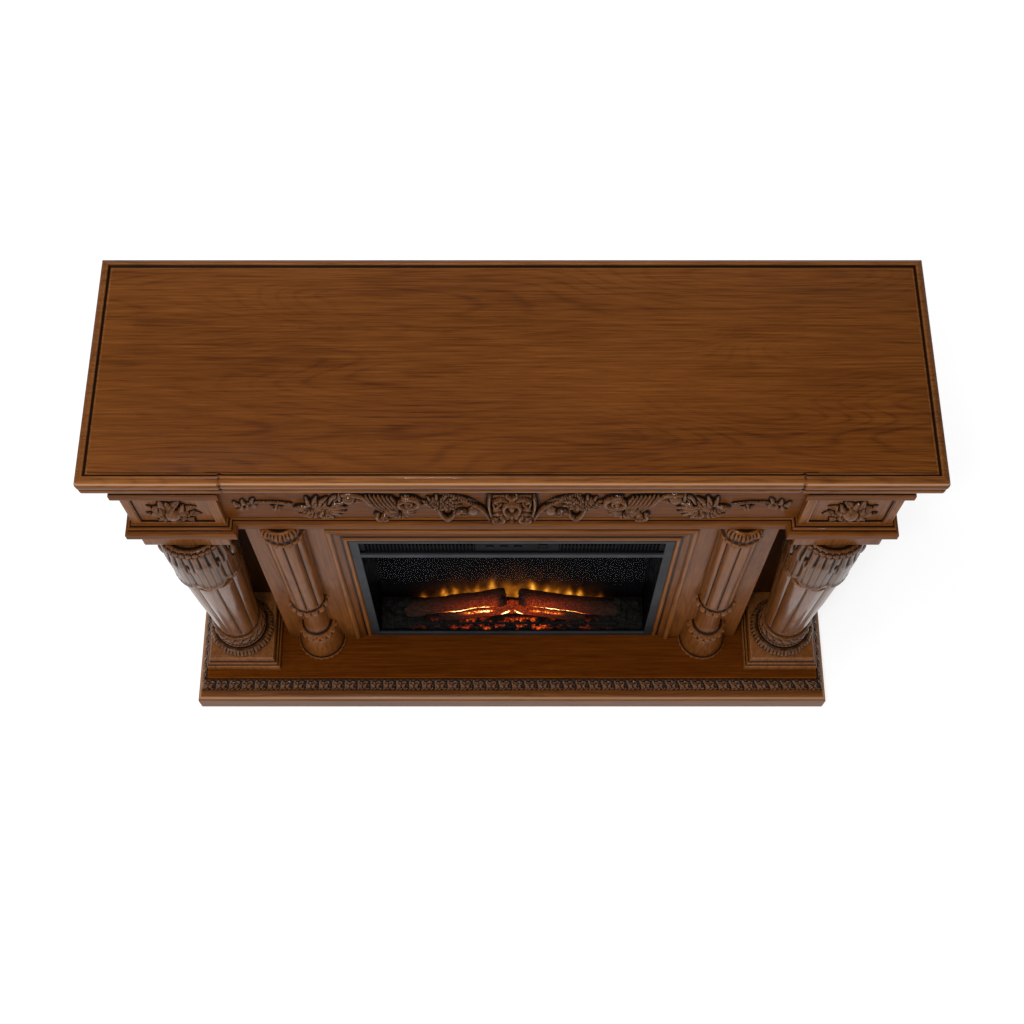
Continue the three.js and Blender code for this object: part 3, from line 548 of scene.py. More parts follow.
# ---------- carving ----------
class Relief:
    """A field of heights over a flat patch, carved stroke by stroke, in millimetres."""

    def __init__(self, u0, u1, v0, v1, step):
        self.u = np.linspace(u0, u1, int(round((u1 - u0) / step)) + 1)
        self.v = np.linspace(v0, v1, int(round((v1 - v0) / step)) + 1)
        self.U, self.V = np.meshgrid(self.u, self.v)
        self.h = np.zeros_like(self.U)
        self.step = step

    @staticmethod
    def curve(points, count=36):
        """A smooth curve through the points."""
        p = np.asarray(points, float)
        p = np.vstack([2 * p[0] - p[1], p, 2 * p[-1] - p[-2]])
        out = []
        for t in np.linspace(0, len(p) - 3 - 1e-9, count):
            i = int(t)
            f = t - i
            a, b, c, d = p[i : i + 4]
            square = (2 * a - 5 * b + 4 * c - d) * f * f
            out.append(0.5 * (2 * b + (c - a) * f + square + (3 * b - a - 3 * c + d) * f**3))
        return np.array(out)

    def stroke(self, points, width, height, vein=0.0, teeth=0, dig=0.5, lean=0.0, count=36):
        """One rounded ridge. width and height are single numbers or values spread along it."""
        line = self.curve(points, count)
        width, height = (
            np.interp(np.linspace(0, 1, count), np.linspace(0, 1, np.size(value)), np.atleast_1d(value))
            for value in (width, height)
        )
        margin = width.max() * 1.5
        low, high = line.min(0) - margin, line.max(0) + margin
        rows = slice(*np.searchsorted(self.v, (low[1], high[1])))
        columns = slice(*np.searchsorted(self.u, (low[0], high[0])))
        if self.h[rows, columns].size == 0:
            return
        du = self.U[rows, columns][..., None] - line[:, 0]
        dv = self.V[rows, columns][..., None] - line[:, 1]
        gap = du * du + dv * dv
        near = gap.argmin(-1)
        distance = np.sqrt(np.take_along_axis(gap, near[..., None], -1)[..., 0])
        tangent = np.gradient(line, axis=0)
        offset_u = np.take_along_axis(du, near[..., None], -1)[..., 0]
        offset_v = np.take_along_axis(dv, near[..., None], -1)[..., 0]
        side = np.sign(tangent[near, 0] * offset_v - tangent[near, 1] * offset_u)
        along = near / (count - 1)
        span = width[near]
        if teeth:
            span = span * (0.78 + 0.22 * np.abs(np.sin(along * math.pi * teeth)))
        r = distance / np.maximum(span, 0.2)
        crown = np.clip(1 - r * r, 0, 1) ** 0.55 * (1 + lean * side * r)
        body = height[near] * crown - vein * np.exp(-((r / 0.2) ** 2)) * (r < 1)
        field = self.h[rows, columns]
        ring = (r >= 1) & (r < 1.0 + 1.3 / np.maximum(span, 1.5))
        field[ring] *= dig
        inside = r < 1
        field[inside] = np.maximum(field[inside] * dig, body[inside])

    def fan(self, root, angles, reach, bend, width, height, start=0.0, **options):
        """Strokes that spread from a root, at angles in degrees, each bending one way."""
        for a in np.radians(angles):
            steps = (start, 0.5 + start / 2, 1.0)
            way = [(math.cos(a + bend * t), math.sin(a + bend * t)) for t in steps]
            points = [(root[0] + reach * t * c, root[1] + reach * t * d) for t, (c, d) in zip(steps, way)]
            tops = [height * 0.7, height, height * 0.6]
            self.stroke(points, [width * 0.5, width, width * 0.4], tops, **options)

    def spiral(self, centre, radius, turns, start, way, width, height):
        """A scroll that winds in to a round eye."""
        t = np.linspace(0, 1, 26)
        r = radius * (1 - 0.8 * t)
        a = math.radians(start) + way * t * turns * 2 * math.pi
        points = np.stack([centre[0] + r * np.cos(a), centre[1] + r * np.sin(a)], -1)
        self.stroke(points, [width, width * 0.5], [height, height * 0.9], count=60, dig=0.45)
        self.dome(centre, radius * 0.24, height * 1.15)

    def dome(self, centre, radius, height, dig=0.5, tall=1.0):
        r = np.hypot(self.U - centre[0], (self.V - centre[1]) / tall) / radius
        near = r < 1 + 1.2 / radius
        self.h[near] *= dig
        inside = r < 1
        self.h[inside] = np.maximum(self.h[inside], height * np.sqrt(np.clip(1 - r[inside] ** 2, 0, 1)))

    def hollow(self, depth):
        return hollow_of(self.h, self.step, depth)


def blurred(h, cells, wrap="edge"):
    """A height field smoothed over some cells each way."""
    weights = np.exp(-((np.arange(-cells, cells + 1) / (0.6 * cells)) ** 2))
    weights /= weights.sum()
    for axis in (0, 1):
        pad = [(0, 0), (0, 0)]
        pad[axis] = (cells, cells)
        wide = np.pad(h, pad, mode=wrap if axis else "edge")
        h = sum(w * np.take(wide, range(i, i + h.shape[axis]), axis) for i, w in enumerate(weights))
    return h


def hollow_of(h, step, depth, wrap="edge"):
    """Above 0 in the cuts of a height field, below 0 on its crests."""
    sharp = (blurred(h, max(1, round(1.8 / step)), wrap) - h) / (depth * 0.4)
    wide = (blurred(h, max(2, round(7.0 / step)), wrap) - h) / (depth * 1.1)
    return np.clip(sharp + wide, -0.42, 1)


def carving(name, verts, faces, glaze, material, nodes=(), make=piece):
    """A carved piece, or a pair of them, with painted shade and highlight taken from its height field."""
    make(name, verts, faces, material, "carved_wood", nodes, sharp=180, extra={"glaze": glaze}, solid=False)


def carved_patch(relief, to_place, margin=5.0):
    """The carved part of a relief with a little of its ground, placed by to_place(u, v, h), and its painted
    shade and highlight.
    """
    rows, columns = relief.h.shape
    near = blurred(relief.h, round(margin / relief.step))
    glaze = relief.hollow(1.3).ravel()
    flat = np.where(near > 0.3, np.maximum(relief.h, 0.55), relief.h).ravel()
    quads = grid_faces(rows, columns)
    quads = quads[flat[quads].max(1) > 0.5]
    used, index = np.unique(quads, return_inverse=True)
    x, y, z = to_place(relief.U.ravel()[used], relief.V.ravel()[used], flat[used])
    return np.stack([x, y, z], -1), index.reshape(-1, 4), glaze[used]


def resampled(profile, step):
    """Points spread evenly along a [radius, height] profile."""
    p = np.asarray(profile, float)
    lengths = np.concatenate([[0], np.cumsum(np.hypot(*np.diff(p, axis=0).T))])
    s = np.linspace(0, lengths[-1], max(2, int(round(lengths[-1] / step)) + 1))
    return np.interp(s, lengths, p[:, 0]), np.interp(s, lengths, p[:, 1])


def turned(
    name, profile, place, segments, step, shape, material, slot, nodes, keep_front=None, depth=2.0, stained=()
):
    """A carved turning and its mirror image. Its radius is shape(angle, radius, height), angle 0 in front.

    Each (height, half, amount) of the darker rings is a ring drawn darker, on top of the painted shade of its
    hollows.
    """
    r, z = resampled(profile, step)
    angle = np.linspace(-math.pi, math.pi, segments, endpoint=False)
    A, R = np.meshgrid(angle, r)
    Z = np.meshgrid(angle, z)[1]
    R = shape(A, R, Z)
    body = np.maximum(R, 0.8 * np.median(R))
    # Painted shade in the cuts of the turning and painted highlight on its crests.
    glaze = hollow_of(body, step, depth, "wrap")
    for height, half, amount in stained:
        glaze = glaze + amount * pulse(Z, height, half)
    x = place[0] + R * np.sin(A)
    y = place[1] - R * np.cos(A)
    if keep_front is not None:
        y = np.minimum(y, keep_front)
    verts = np.stack([x, y, Z], -1).reshape(-1, 3)
    faces = [list(f) for f in grid_faces(len(r), segments, wrap=True)]
    if R[0].min() > 0.5:
        faces.append(list(range(segments))[::-1])
    if R[-1].min() > 0.5:
        faces.append(list(range(len(verts) - segments, len(verts))))
    pair(name, verts, faces, material, slot, nodes, sharp=180, extra={"glaze": glaze.ravel()})


def pulse(x, centre, half):
    """A smooth round bump."""
    return np.clip(1 - ((x - centre) / half) ** 2, 0, 1)


def wrapped(angle, count, shift=0.0):
    """Where an angle lies within its share of a ring of count pieces, from -1 to 1."""
    return ((angle * count / (2 * math.pi) + shift + 0.5) % 1.0 - 0.5) * 2


# ---------- shelf and mouldings ----------
def make_shelf():
    breaks = [NOSE_STEP + d for d in (-5.0, -2.0, 0.0, 2.0, 5.0)]
    front = [(x, SHELF_FRONT) for x in [-b for b in breaks[::-1]] + breaks]
    outline = [
        (-SHELF_HALF, BACK), (-SHELF_HALF, SHELF_FRONT), *front, (SHELF_HALF, SHELF_FRONT),
        (SHELF_HALF, BACK),
    ]
    section = softened(
        [
            (-RIM, SHELF_FOOT), (-3, SHELF_FOOT), (-2, SHELF_FOOT + 9), (-6, SHELF_FOOT + 12),
            (-6, SHELF_FOOT + 15), (-1, SHELF_FOOT + 19), (0, SHELF_FOOT + 30), (-3, SHELF_FOOT + 39),
            (-12, SHELF_TOP, 6), (-15, SHELF_TOP), (-18, SHELF_TOP - 5), (-RIM, SHELF_TOP - 5),
        ],
        2.2,
    )
    verts, faces, glaze = sweep(outline, section, True, 8, (1, len(outline) - 2))
    # The middle of the nose lies a touch behind its ends, past a fine groove.
    across = np.abs(verts[:, 0])
    nose = verts[:, 1] < 0
    groove = np.exp(-(((across - NOSE_STEP) / 2.5) ** 2)) * nose
    verts[:, 1] += 1.0 * (across < NOSE_STEP) * nose + 2.0 * groove
    # A pale painted highlight line about a third of the way down the nose.
    highlight_band = pulse(verts[:, 2], SHELF_FOOT + 37, 4.5) * (verts[:, 1] < SHELF_FRONT + 8) * (glaze < 0.2)
    extra = {"glaze": np.clip(glaze * (1 - highlight_band) + NOSE_HIGHLIGHT * highlight_band + 0.5 * groove, -1, 1)}
    piece("shelf_edge", verts, faces, nose_wood, "stained_wood", ["shelf_rim"], extra=extra)
    bevelled("shelf_board", top_wood, "veneered_board", 1.2)


def make_mouldings():
    outline = [
        (-BLOCK_OUT, BACK), (-BLOCK_OUT, BLOCK_FACE), (-BLOCK_IN, BLOCK_FACE), (-BLOCK_IN, FRIEZE_FACE),
        (BLOCK_IN, FRIEZE_FACE), (BLOCK_IN, BLOCK_FACE), (BLOCK_OUT, BLOCK_FACE), (BLOCK_OUT, BACK),
    ]
    top = SHELF_FOOT - 0.3
    cornice = softened(
        [
            (0.3, 985), (8, 985), (10, 990), (10, 1008), (6.5, 1011), (4.5, 1020), (7, 1031, 4),
            (16, 1040, 3), (20.5, 1044), (20.5, top), (0.3, top),
        ],
        1.8,
    )
    foot = ARCHITRAVE_FOOT
    architrave = softened(
        [
            (0.3, foot), (13, foot), (17, foot + 4, 4), (17, foot + 25, 3), (12, foot + 28.5),
            (9.5, foot + 29.5), (9.5, foot + 36.5, 4), (4.5, foot + 38), (2, foot + 41), (0.3, foot + 41),
        ],
        1.6,
    )
    moulding("cornice", outline, cornice, long_wood, ["cornice_moulding"])
    moulding("architrave", outline, architrave, long_wood, ["architrave_moulding"])
    bevelled("frieze_panel", long_wood, "stained_wood", 0.8)


def make_frieze():
    """Leafy scrolls that run from a cartouche out to a sprig, cut as one band."""
    r = Relief(0, 514, 846, 974, 1.1)
    # Sprig, its stem and a floret.
    r.stroke([(402, 922), (434, 930), (467, 928), (490, 916), (504, 906)], [3.4, 2.6, 2], [7, 6, 4])
    leaves = [
        (470, 927, 75), (470, 925, -120), (483, 921, 50), (481, 918, -100), (494, 914, 30), (491, 912, -85),
    ]
    for u, v, a in leaves:
        r.fan((u, v), [a], 19, 0.5, 4.6, 9, vein=1.6, dig=0.35, count=14)
    r.fan((429, 906), range(10, 370, 72), 11, 0.3, 4.4, 8, dig=0.4, count=12)
    # Dense spray of leaves with a curl at its foot.
    r.fan((352, 906), range(40, 250, 22), 50, 0.5, 6.5, 12, 0.12, vein=2.2, teeth=5, dig=0.3)
    r.fan((368, 914), range(150, 400, 25), 30, -0.5, 5.0, 13, 0.1, vein=2.0, teeth=4, dig=0.3)
    r.fan((362, 900), range(200, 330, 26), 34, 0.4, 4.4, 14, 0.2, vein=1.6, dig=0.3)
    r.spiral((339, 886), 13, 1.1, 60, -1, 4.2, 14)
    # Bud between two petals on an arching stem.
    r.stroke([(256, 918), (266, 948), (292, 964), (320, 954), (332, 926)], [5, 5, 4], [8, 9, 7])
    r.fan((300, 938), (35, 150), 28, 0.6, 6.0, 12, vein=1.5)
    r.dome((294, 948), 13, 15, tall=0.9)
    # Large scroll crossed by slanting reeds.
    for i in range(7):
        u = 262 - i * 7.5
        reed = [(u, 962 - i), (u - 10, 930), (u - 24, 892 + 2 * i)]
        r.stroke(reed, [2.4, 3.4, 2.0], [9, 13, 8], dig=0.25, count=20)
    r.spiral((190, 932), 25, 1.6, 80, 1, 5.5, 14)
    r.spiral((236, 872), 14, 1.2, 40, -1, 4.8, 14)
    r.fan((206, 892), range(150, 400, 28), 30, 0.5, 5.0, 12, 0.1, vein=1.8, teeth=3, dig=0.3)
    # Leaf with a beaded blade, its curl and a plain boss.
    r.fan((128, 926), range(20, 380, 30), 36, 0.5, 6.0, 11, 0.1, vein=2.0, teeth=5, dig=0.3)
    for i in range(26):
        a = i * 2.4
        r.dome((128 + 5.6 * math.sqrt(i) * math.cos(a), 930 + 4.6 * math.sqrt(i) * math.sin(a)), 3.0, 13, 0.8)
    r.stroke([(134, 902), (128, 876), (118, 864), (108, 876), (104, 896)], [4, 4.6, 3], [11, 14, 10], dig=0.3)
    r.spiral((90, 886), 12, 1.0, 30, 1, 4.0, 12)
    r.dome((71, 890), 11, 10, tall=1.5)
    # Ribbons that sweep down to the cartouche.
    for i in range(4):
        s = i * 9.0
        ribbon = [
            (122 - s * 0.5, 968 - s * 0.2), (80 - s * 0.7, 944 - s), (56 - s * 0.4, 908 - s),
            (42, 866 - i * 3),
        ]
        r.stroke(ribbon, [2.6, 4.0, 3.8, 2.4], [8, 12, 14, 10], dig=0.25)
    # Cartouche: a raised block, a ring round a boss, curled leaves, and a drop between two scrolls.
    r.h = np.where((r.U < 43) & (r.V > 872) & (r.V < 966), np.maximum(r.h, 8.0), r.h)
    r.stroke([(40, 964), (41.5, 925), (38, 884)], [4, 4.2, 3.4], [15, 16, 14], dig=0.3)
    half_turn = np.radians(np.linspace(-90, 90, 7))
    ring = [(15 * math.cos(a), 918 + 24 * math.sin(a)) for a in half_turn]
    r.stroke(ring, [4.6, 4.8, 4.4], [20, 19, 18], dig=0.2)
    r.dome((0, 918), 7.5, 18, tall=1.3)
    for line in (
        [(8, 950), (20, 960), (31, 952), (26, 938)], [(20, 936), (30, 926), (34, 938)],
        [(19, 914), (29, 920), (34, 908)], [(16, 894), (27, 898), (33, 889)], [(4, 952), (2, 962), (10, 966)],
    ):
        r.stroke(line, [2.6, 4.0, 2.4], [14, 18, 13], dig=0.2)
    r.stroke([(0, 892), (0, 876), (0, 856)], [4, 7.5, 3], [18, 21, 14], vein=2.0, dig=0.3)
    r.fan((2, 880), (20, -30), 17, 0.4, 4.2, 18, dig=0.3)
    r.spiral((27, 868), 15, 1.1, 120, 1, 5.0, 17)

    def place(u, v, h):
        return u, FRIEZE_FIELD + 0.4 - h, v + 9

    verts, faces, glaze = carved_patch(r, place)
    halves = (
        ("scroll_carving_right", verts, faces[:, ::-1], ["frieze_carving"]),
        ("scroll_carving_left", mirrored(verts), faces, ()),
    )
    for name, points, sides, nodes in halves:
        carving(name, points, sides, glaze, carved_long, nodes)


def make_blocks():
    both(bevelled, "corner_block", upright_wood, "stained_wood", 1.6)
    # Slim bead round the sunk panel.
    low, high = 869.0, 967.0
    inner, outer = BLOCK_IN + 18.0, BLOCK_OUT - 18.0
    outline = [(inner, low), (outer, low), (outer, high), (inner, high)]
    section = softened([(0, 0), (3.2, 0), (3.2, 1.0), (1.6, 3.6, 1.5), (0, 3.6)], 0.6)
    rings = [offset_outline(outline, u, True) for u, _ in section]
    verts = np.array([[x, BLOCK_FACE + 4.0 - h, z] for ring, (_, h) in zip(rings, section) for x, z in ring])
    faces = grid_faces(len(section) + 1, 4, wrap=True) % len(verts)
    pair("panel_bead", verts, faces, upright_wood, "stained_wood")
    # Carved rose: curled leaves round a smooth boss.
    r = Relief(-52, 52, -52, 52, 0.8)
    r.fan((0, 0), range(0, 360, 40), 48, 0.55, 9.5, 9, 0.35, vein=1.8, teeth=3, lean=0.3, dig=0.35)
    r.fan((0, 0), range(20, 380, 45), 39, -0.5, 7.5, 13, 0.4, vein=1.6, lean=-0.3, dig=0.3)
    r.fan((0, 0), range(12, 372, 60), 29, 0.6, 6.5, 16, 0.5, vein=1.2, dig=0.2)
    r.dome((0, -2), 16.5, 19, 0.1)
    verts, faces, glaze = carved_patch(r, lambda u, v, h: (COLUMN[0] + u, BLOCK_FACE + 4.2 - h, 913 + v))
    carving("carved_rose", verts, faces[:, ::-1], glaze, carved_upright, ["block_rosette"], pair)


# ---------- outer columns ----------
def make_columns():
    x = COLUMN[0]
    plinth = [(x - 74.5, -35.3), (x - 74.5, -198), (x + 74.5, -198), (x + 74.5, -35.3)]
    section = softened(
        [
            (-60, ON_HEARTH), (9, ON_HEARTH), (9, 128, 3), (5, 131), (4, 136, 2), (0, 140), (-1, 150),
            (-3, 157.8, 2), (-60, 157.8),
        ],
        1.6,
    )
    moulding("plinth", plinth, section, upright_wood, ["column_plinth"], both_sides=True)
    both(bevelled, "column_abacus", upright_wood, "stained_wood", 3.0, 3)

    # Torus with carved leaves under three fine rings, and a leafy collar under the shaft.
    base = softened(
        [
            (0, ON_PLINTH), (62, ON_PLINTH), (69, 164, 4), (70, 174, 4), (66, 183, 4), (58, 187), (55, 190),
            (57.5, 193), (55, 196), (53, 199), (55.5, 202), (53, 205), (52, 208), (56.5, 214, 4),
            (57.5, 222, 4), (52, 231), (0, 231.6),
        ],
        1.2, closed=False,
    )

    def base_shape(a, r, z):
        leaf = wrapped(a, 13)
        band = pulse(z, 173, 12)
        lift = 3.6 * band * (1 - np.abs(leaf) ** 2) - 2.2 * band * np.exp(-((leaf / 0.14) ** 2))
        lift -= 1.2 * band * np.exp(-(((np.abs(leaf) - 0.5) / 0.1) ** 2))
        collar = pulse(z, 219, 10)
        twist = wrapped(a, 18, (z - 219) * 0.03)
        lift += 3.4 * collar * (1 - twist**2) - 1.6 * collar
        rope = pulse(z, 198, 8)
        lift += 0.5 * rope * np.cos(a * 40 + z * 0.6)
        return r + np.where(r > 40, lift, 0)

    turned(
        "leafy_base", base, COLUMN, 336, 1.2, base_shape, carved_upright, "carved_wood", ["column_base"],
        depth=1.2, stained=((173, 16, 0.12), (198, 12, 0.14), (219, 13, 0.10)),
    )

    # Tapered shaft of convex lobes that meet in sharp grooves and round off at the foot.
    shaft = [
        (0, 232.4), (40, 232.4), (46, 240), (50, 285), (52.5, 345), (59, 449), (64, 560), (64, 577.6),
        (0, 577.6),
    ]

    def lobed(a, r, z):
        lobe = np.abs(wrapped(a, 10))
        round_off = 1 - np.sqrt(np.clip(1 - (lobe * 0.98) ** 2, 0, 1))
        fade = np.clip((z - 236) / 14, 0.25, 1)
        return np.where(r > 30, r * (1.035 - 0.12 * round_off * fade), r)

    turned("lobed_shaft", shaft, COLUMN, 320, 2.5, lobed, column_wood, "stained_wood", ["column_shaft"])

    # Capital: broad smooth leaves with scalloped tips, pleated and drilled above, under a row of beads.
    capital = [
        (0, 578.4), (58, 578.4), (63, 582), (65.5, 600), (67, 650), (68.5, 700), (69.5, 742), (68.5, 755),
        (65, 761), (64.5, 772), (61, 775.6), (0, 775.6),
    ]

    def leafy(a, r, z):
        out = r.copy()
        for shift, reach, thick in ((0.83, 610.0, 2.4), (0.33, 590.0, 5.2)):
            leaf = wrapped(a, 7, shift)
            wide = np.abs(leaf)
            edge = reach + 22 * wide**2.2 - 5 * np.abs(np.cos(leaf * math.pi * 2))
            body = np.clip((z - edge) / 2.5, 0, 1) ** 0.5
            curl = 2.4 * np.exp(-(((z - edge) - 9) / 11) ** 2)
            crown = np.sqrt(np.clip(1 - (wide * 0.97) ** 2, 0, 1))
            veins = 0.5 * (1 - np.abs(np.cos(leaf * math.pi * 2.5 + (z - 600) * 0.004))) ** 3
            fade = np.clip((752 - z) / 40, 0.3, 1)
            out = np.maximum(out, r + body * (fade * (thick + curl) * (0.3 + 0.7 * crown) - veins))
        pleat = wrapped(a, 28) / 0.4
        top = np.clip((z - 694 - 16 * np.cos(a * 7 + 2.07)) / 22, 0, 1) * np.clip((760 - z) / 5, 0, 1)
        eye = np.exp(-((wrapped(a, 7, 0.83) / 0.11) ** 2) - ((z - 716) / 9) ** 2)
        bead = wrapped(a, 32)
        row = 4.4 * np.sqrt(np.clip(1 - bead**2 - ((z - 767) / 5.4) ** 2, 0, 1))
        for turn in (-1.3, 1.3):
            spot = np.hypot((a - turn) / 0.13, (z - 700) / 26)
            out += 5.0 * np.clip(1 - spot**2, 0, 1) ** 0.5 - 2.0 * np.exp(-(((spot - 1.15) / 0.12) ** 2))
        return np.where(r > 50, out - 2.4 * top * np.exp(-(pleat**2)) - 5.5 * eye + row, r)

    turned(
        "acanthus_capital", capital, COLUMN, 400, 1.4, leafy, carved_upright, "carved_wood",
        ["column_capital"], depth=1.2, stained=((767, 9, 0.12), (728, 34, 0.11)),
    )


# ---------- inner columns ----------
def make_inner_columns():
    profile = softened(
        [
            (0, ON_HEARTH), (48, ON_HEARTH), (54, 108, 2), (54, 112, 2), (50, 116), (48.5, 124), (45, 160),
            (41, 192), (38.5, 200), (42, 206, 2), (42.5, 214, 3), (39, 220), (32, 224), (28, 232),
            (26.5, 245), (26.5, 350), (31, 358), (40, 366, 3), (43, 376, 4), (40, 384), (36, 389),
            (36.5, 400), (39, 760), (41, 766), (44, 771, 2), (40, 777), (38, 783), (42, 796), (46, 808),
            (42, 816), (36, 820.4), (0, 820.4),
        ],
        1.5, closed=False,
    )

    def shape(a, r, z):
        reed = np.abs(wrapped(a, 8, 0.5))
        length = np.clip((z - 392) / 12, 0, 1) * np.clip((756 - z) / 12, 0, 1)
        hollow = 1 - np.sqrt(np.clip(1 - (reed * 0.985) ** 2, 0, 1))
        out = r * (1 + (0.04 - 0.24 * hollow) * np.sqrt(length))
        bead_rings = ((210, 8, 17, 4.2), (376, 11, 15, 5.5), (110, 4, 26, 2.4), (770, 6, 18, 3.0))
        for z0, half, count, depth in bead_rings:
            bead = wrapped(a, count)
            out += depth * pulse(z, z0, half) * (0.55 - bead**2)
        leaf = wrapped(a, 9)
        edge = np.clip((z - 784 - 9 * np.abs(leaf)) / 3, 0, 1) * np.clip((819 - z) / 3, 0, 1)
        out += edge * (5.5 * (1 - np.abs(leaf) ** 1.6) - 3.5 * np.exp(-((leaf / 0.13) ** 2)) - 2.5)
        out -= 3.0 * edge * np.exp(-(((np.abs(leaf) - 0.55) / 0.12) ** 2))
        return np.where(r > 20, out, r)

    turned(
        "reeded_column", profile, INNER, 256, 1.5, shape, upright_wood, "stained_wood", ["inner_column"],
        keep_front=PILASTER_FACE - 0.3, depth=1.3,
        stained=((110, 7, 0.16), (210, 11, 0.15), (376, 14, 0.16), (770, 8, 0.12), (802, 18, 0.1)),
    )


# ---------- boards, trim and hearth ----------
def make_case():
    # The wing panels take the darker wood, painted shade for their recess.
    boards = (("pilaster_board", upright_wood), ("wing_panel", shade_painted_wood), ("side_panel", upright_wood))
    for node, stuff in boards:
        both(bevelled, node, stuff, "stained_wood", 1.2)
    bevelled("lintel_board", long_wood, "stained_wood", 0.8)
    finish_node("back_panel", raw_board)
    bevelled("hearth_platform", hearth_wood, "veneered_board", 3.0, 3)
    bevelled("hearth_slab", nose_wood, "stained_wood", highlight_band=(2.3, 5.5))


def make_trim():
    """Moulded trim with a taller head, mitred at its upper corners."""
    section = softened(
        [
            (0, 0), (37.6, 0), (37.6, 20, 3), (31.5, 20, 3), (26, 15), (18, 11.5), (11, 9), (8, 11.5),
            (4.5, 12.5), (0.6, 9),
        ],
        1.6,
    )
    inner, low, high, back = 324.3, ON_HEARTH, 680.3, INSERT_FACE + 10
    slope = 75.0 / 38.0
    side = []
    for top in (0, 1):
        for u, p in section:
            side.append((inner + u, back - p, (high - 0.6 + slope * u) if top else low))
    n = len(section)
    faces = [[k, (k + 1) % n, n + (k + 1) % n, n + k] for k in range(n)]
    faces += [list(range(n))[::-1], list(range(n, 2 * n))]
    shade = {"glaze": np.tile(section_shade_and_highlight(section), 2)}
    pair("trim_side", np.array(side), faces, upright_wood, "stained_wood", ["trim"], extra=shade)
    head = []
    for end in (-1, 1):
        for u, p in section:
            head.append((end * (inner + u), back - p, high + slope * u))
    piece("trim_head", np.array(head), faces, head_wood, "stained_wood", ["trim_top"], extra=shade)


def make_carved_band():
    """Leaf and dart carving round the hearth, cut as one pattern that repeats."""
    unit = 29.3
    r = Relief(0, unit * 3, 0, 40, 0.75)
    for k in range(-1, 5):
        u = k * unit
        r.stroke([(u, 3), (u + 5, 16), (u, 35)], [2, 6, 3], [2, 5, 3], vein=1.4, count=18)
        curl = [(u + 8, 4), (u + 16, 14), (u + 12, 27), (u + 5, 31)]
        r.stroke(curl, [2, 4, 3.5, 2], [3, 5, 5, 3], vein=1.0, count=18)
        r.stroke([(u + 21, 4), (u + 15, 18), (u + 20, 30)], [2, 4, 2.5], [2, 4, 3], count=18)
        r.spiral((u + 15, 31), 5, 1.0, 0, 1, 2, 4)
        r.dome((u + 23.5, 9), 2.6, 4)
    middle = (r.u >= unit) & (r.u < 2 * unit - 0.3)
    tile = r.h[:, middle]
    shade = r.hollow(1.5)[:, middle]
    profile = np.array([(19.0, 63.5), (18.5, 66), (16, 70), (13.2, 78), (9.6, 88), (5.6, 96.5), (4.2, 100)])
    lengths = np.concatenate([[0], np.cumsum(np.hypot(*np.diff(profile, axis=0).T))])
    s = r.v / r.v[-1] * lengths[-1]
    out = np.interp(s, lengths, profile[:, 0])
    up = np.interp(s, lengths, profile[:, 1])
    lean = math.atan2(15.0, 36.5)
    half, front = HEARTH_HALF, HEARTH_FRONT

    def strip(length, place):
        count = int(length / 0.8)
        column = (np.arange(count + 1) * 0.8) % unit / unit * tile.shape[1]
        column = column.astype(int) % tile.shape[1]
        ease = np.sin(np.clip(r.v / r.v[-1], 0, 1) * math.pi) ** 0.4
        h = tile[:, column] * ease[:, None] * 0.9 - 1.5
        t = np.linspace(0, 1, count + 1)
        u = out[:, None] + h * math.cos(lean)
        z = up[:, None] + h * math.sin(lean)
        u = np.minimum(u, 19.0)
        x, y = place(t[None, :], u)
        verts = np.stack([x, y, z + 0 * x], -1).reshape(-1, 3)
        return verts, grid_faces(len(r.v), count + 1), shade[:, column].ravel()

    def along_front(t, u):
        return (2 * t - 1) * (half + u), front - u + 0 * t

    def along_side(t, u):
        return half + u + 0 * t, front - u + (BACK - 0.2 - front + u) * t

    verts, faces, glaze = strip(2 * half, along_front)
    carving("leaf_band_front", verts, faces, glaze, carved_long, ["hearth_carved_moulding"])
    verts, faces, glaze = strip(BACK - front, along_side)
    carving("leaf_band", verts, faces, glaze, carved_long, make=pair)
    outline = [(-half, BACK), (-half, front), (half, front), (half, BACK)]
    core = [(0.3, 62.4), (16.2, 62.4), (15.5, 66), (12.5, 72), (2.2, 97), (2.5, 100), (0.3, 100.2)]
    core = softened(core, 0.8)
    verts, faces, glaze = sweep(outline, core)
    # The plain core behind the carving is drawn evenly dark, painted shade under the leaves.
    piece("leaf_band_core", verts, faces, carved_long, "carved_wood", extra={"glaze": 0.4 + 0 * glaze})


# ---------- insert ----------
def make_insert():
    bevelled("insert_bezel", black_metal, "black_metal", 1.2)
    finish_node("insert_casing", galvanised)
    finish_node("glass_pane", clear_glass)
    for node in ("control_panel", "button_power", "button_flame", "button_heat", "rocker_switch"):
        bevelled(node, dark_plastic, "dark_plastic", 0.5)
    for node in ("rotor_motor", "heater_housing", "blower_motor", "flame_rotor"):
        finish_node(node, galvanised)
    finish_node("blower_wheel", wheel_plastic)
    finish_node("cable_gland", gland_plastic)
    finish_node("led_board", board_green)
    finish_node("heating_element", heater_metal)


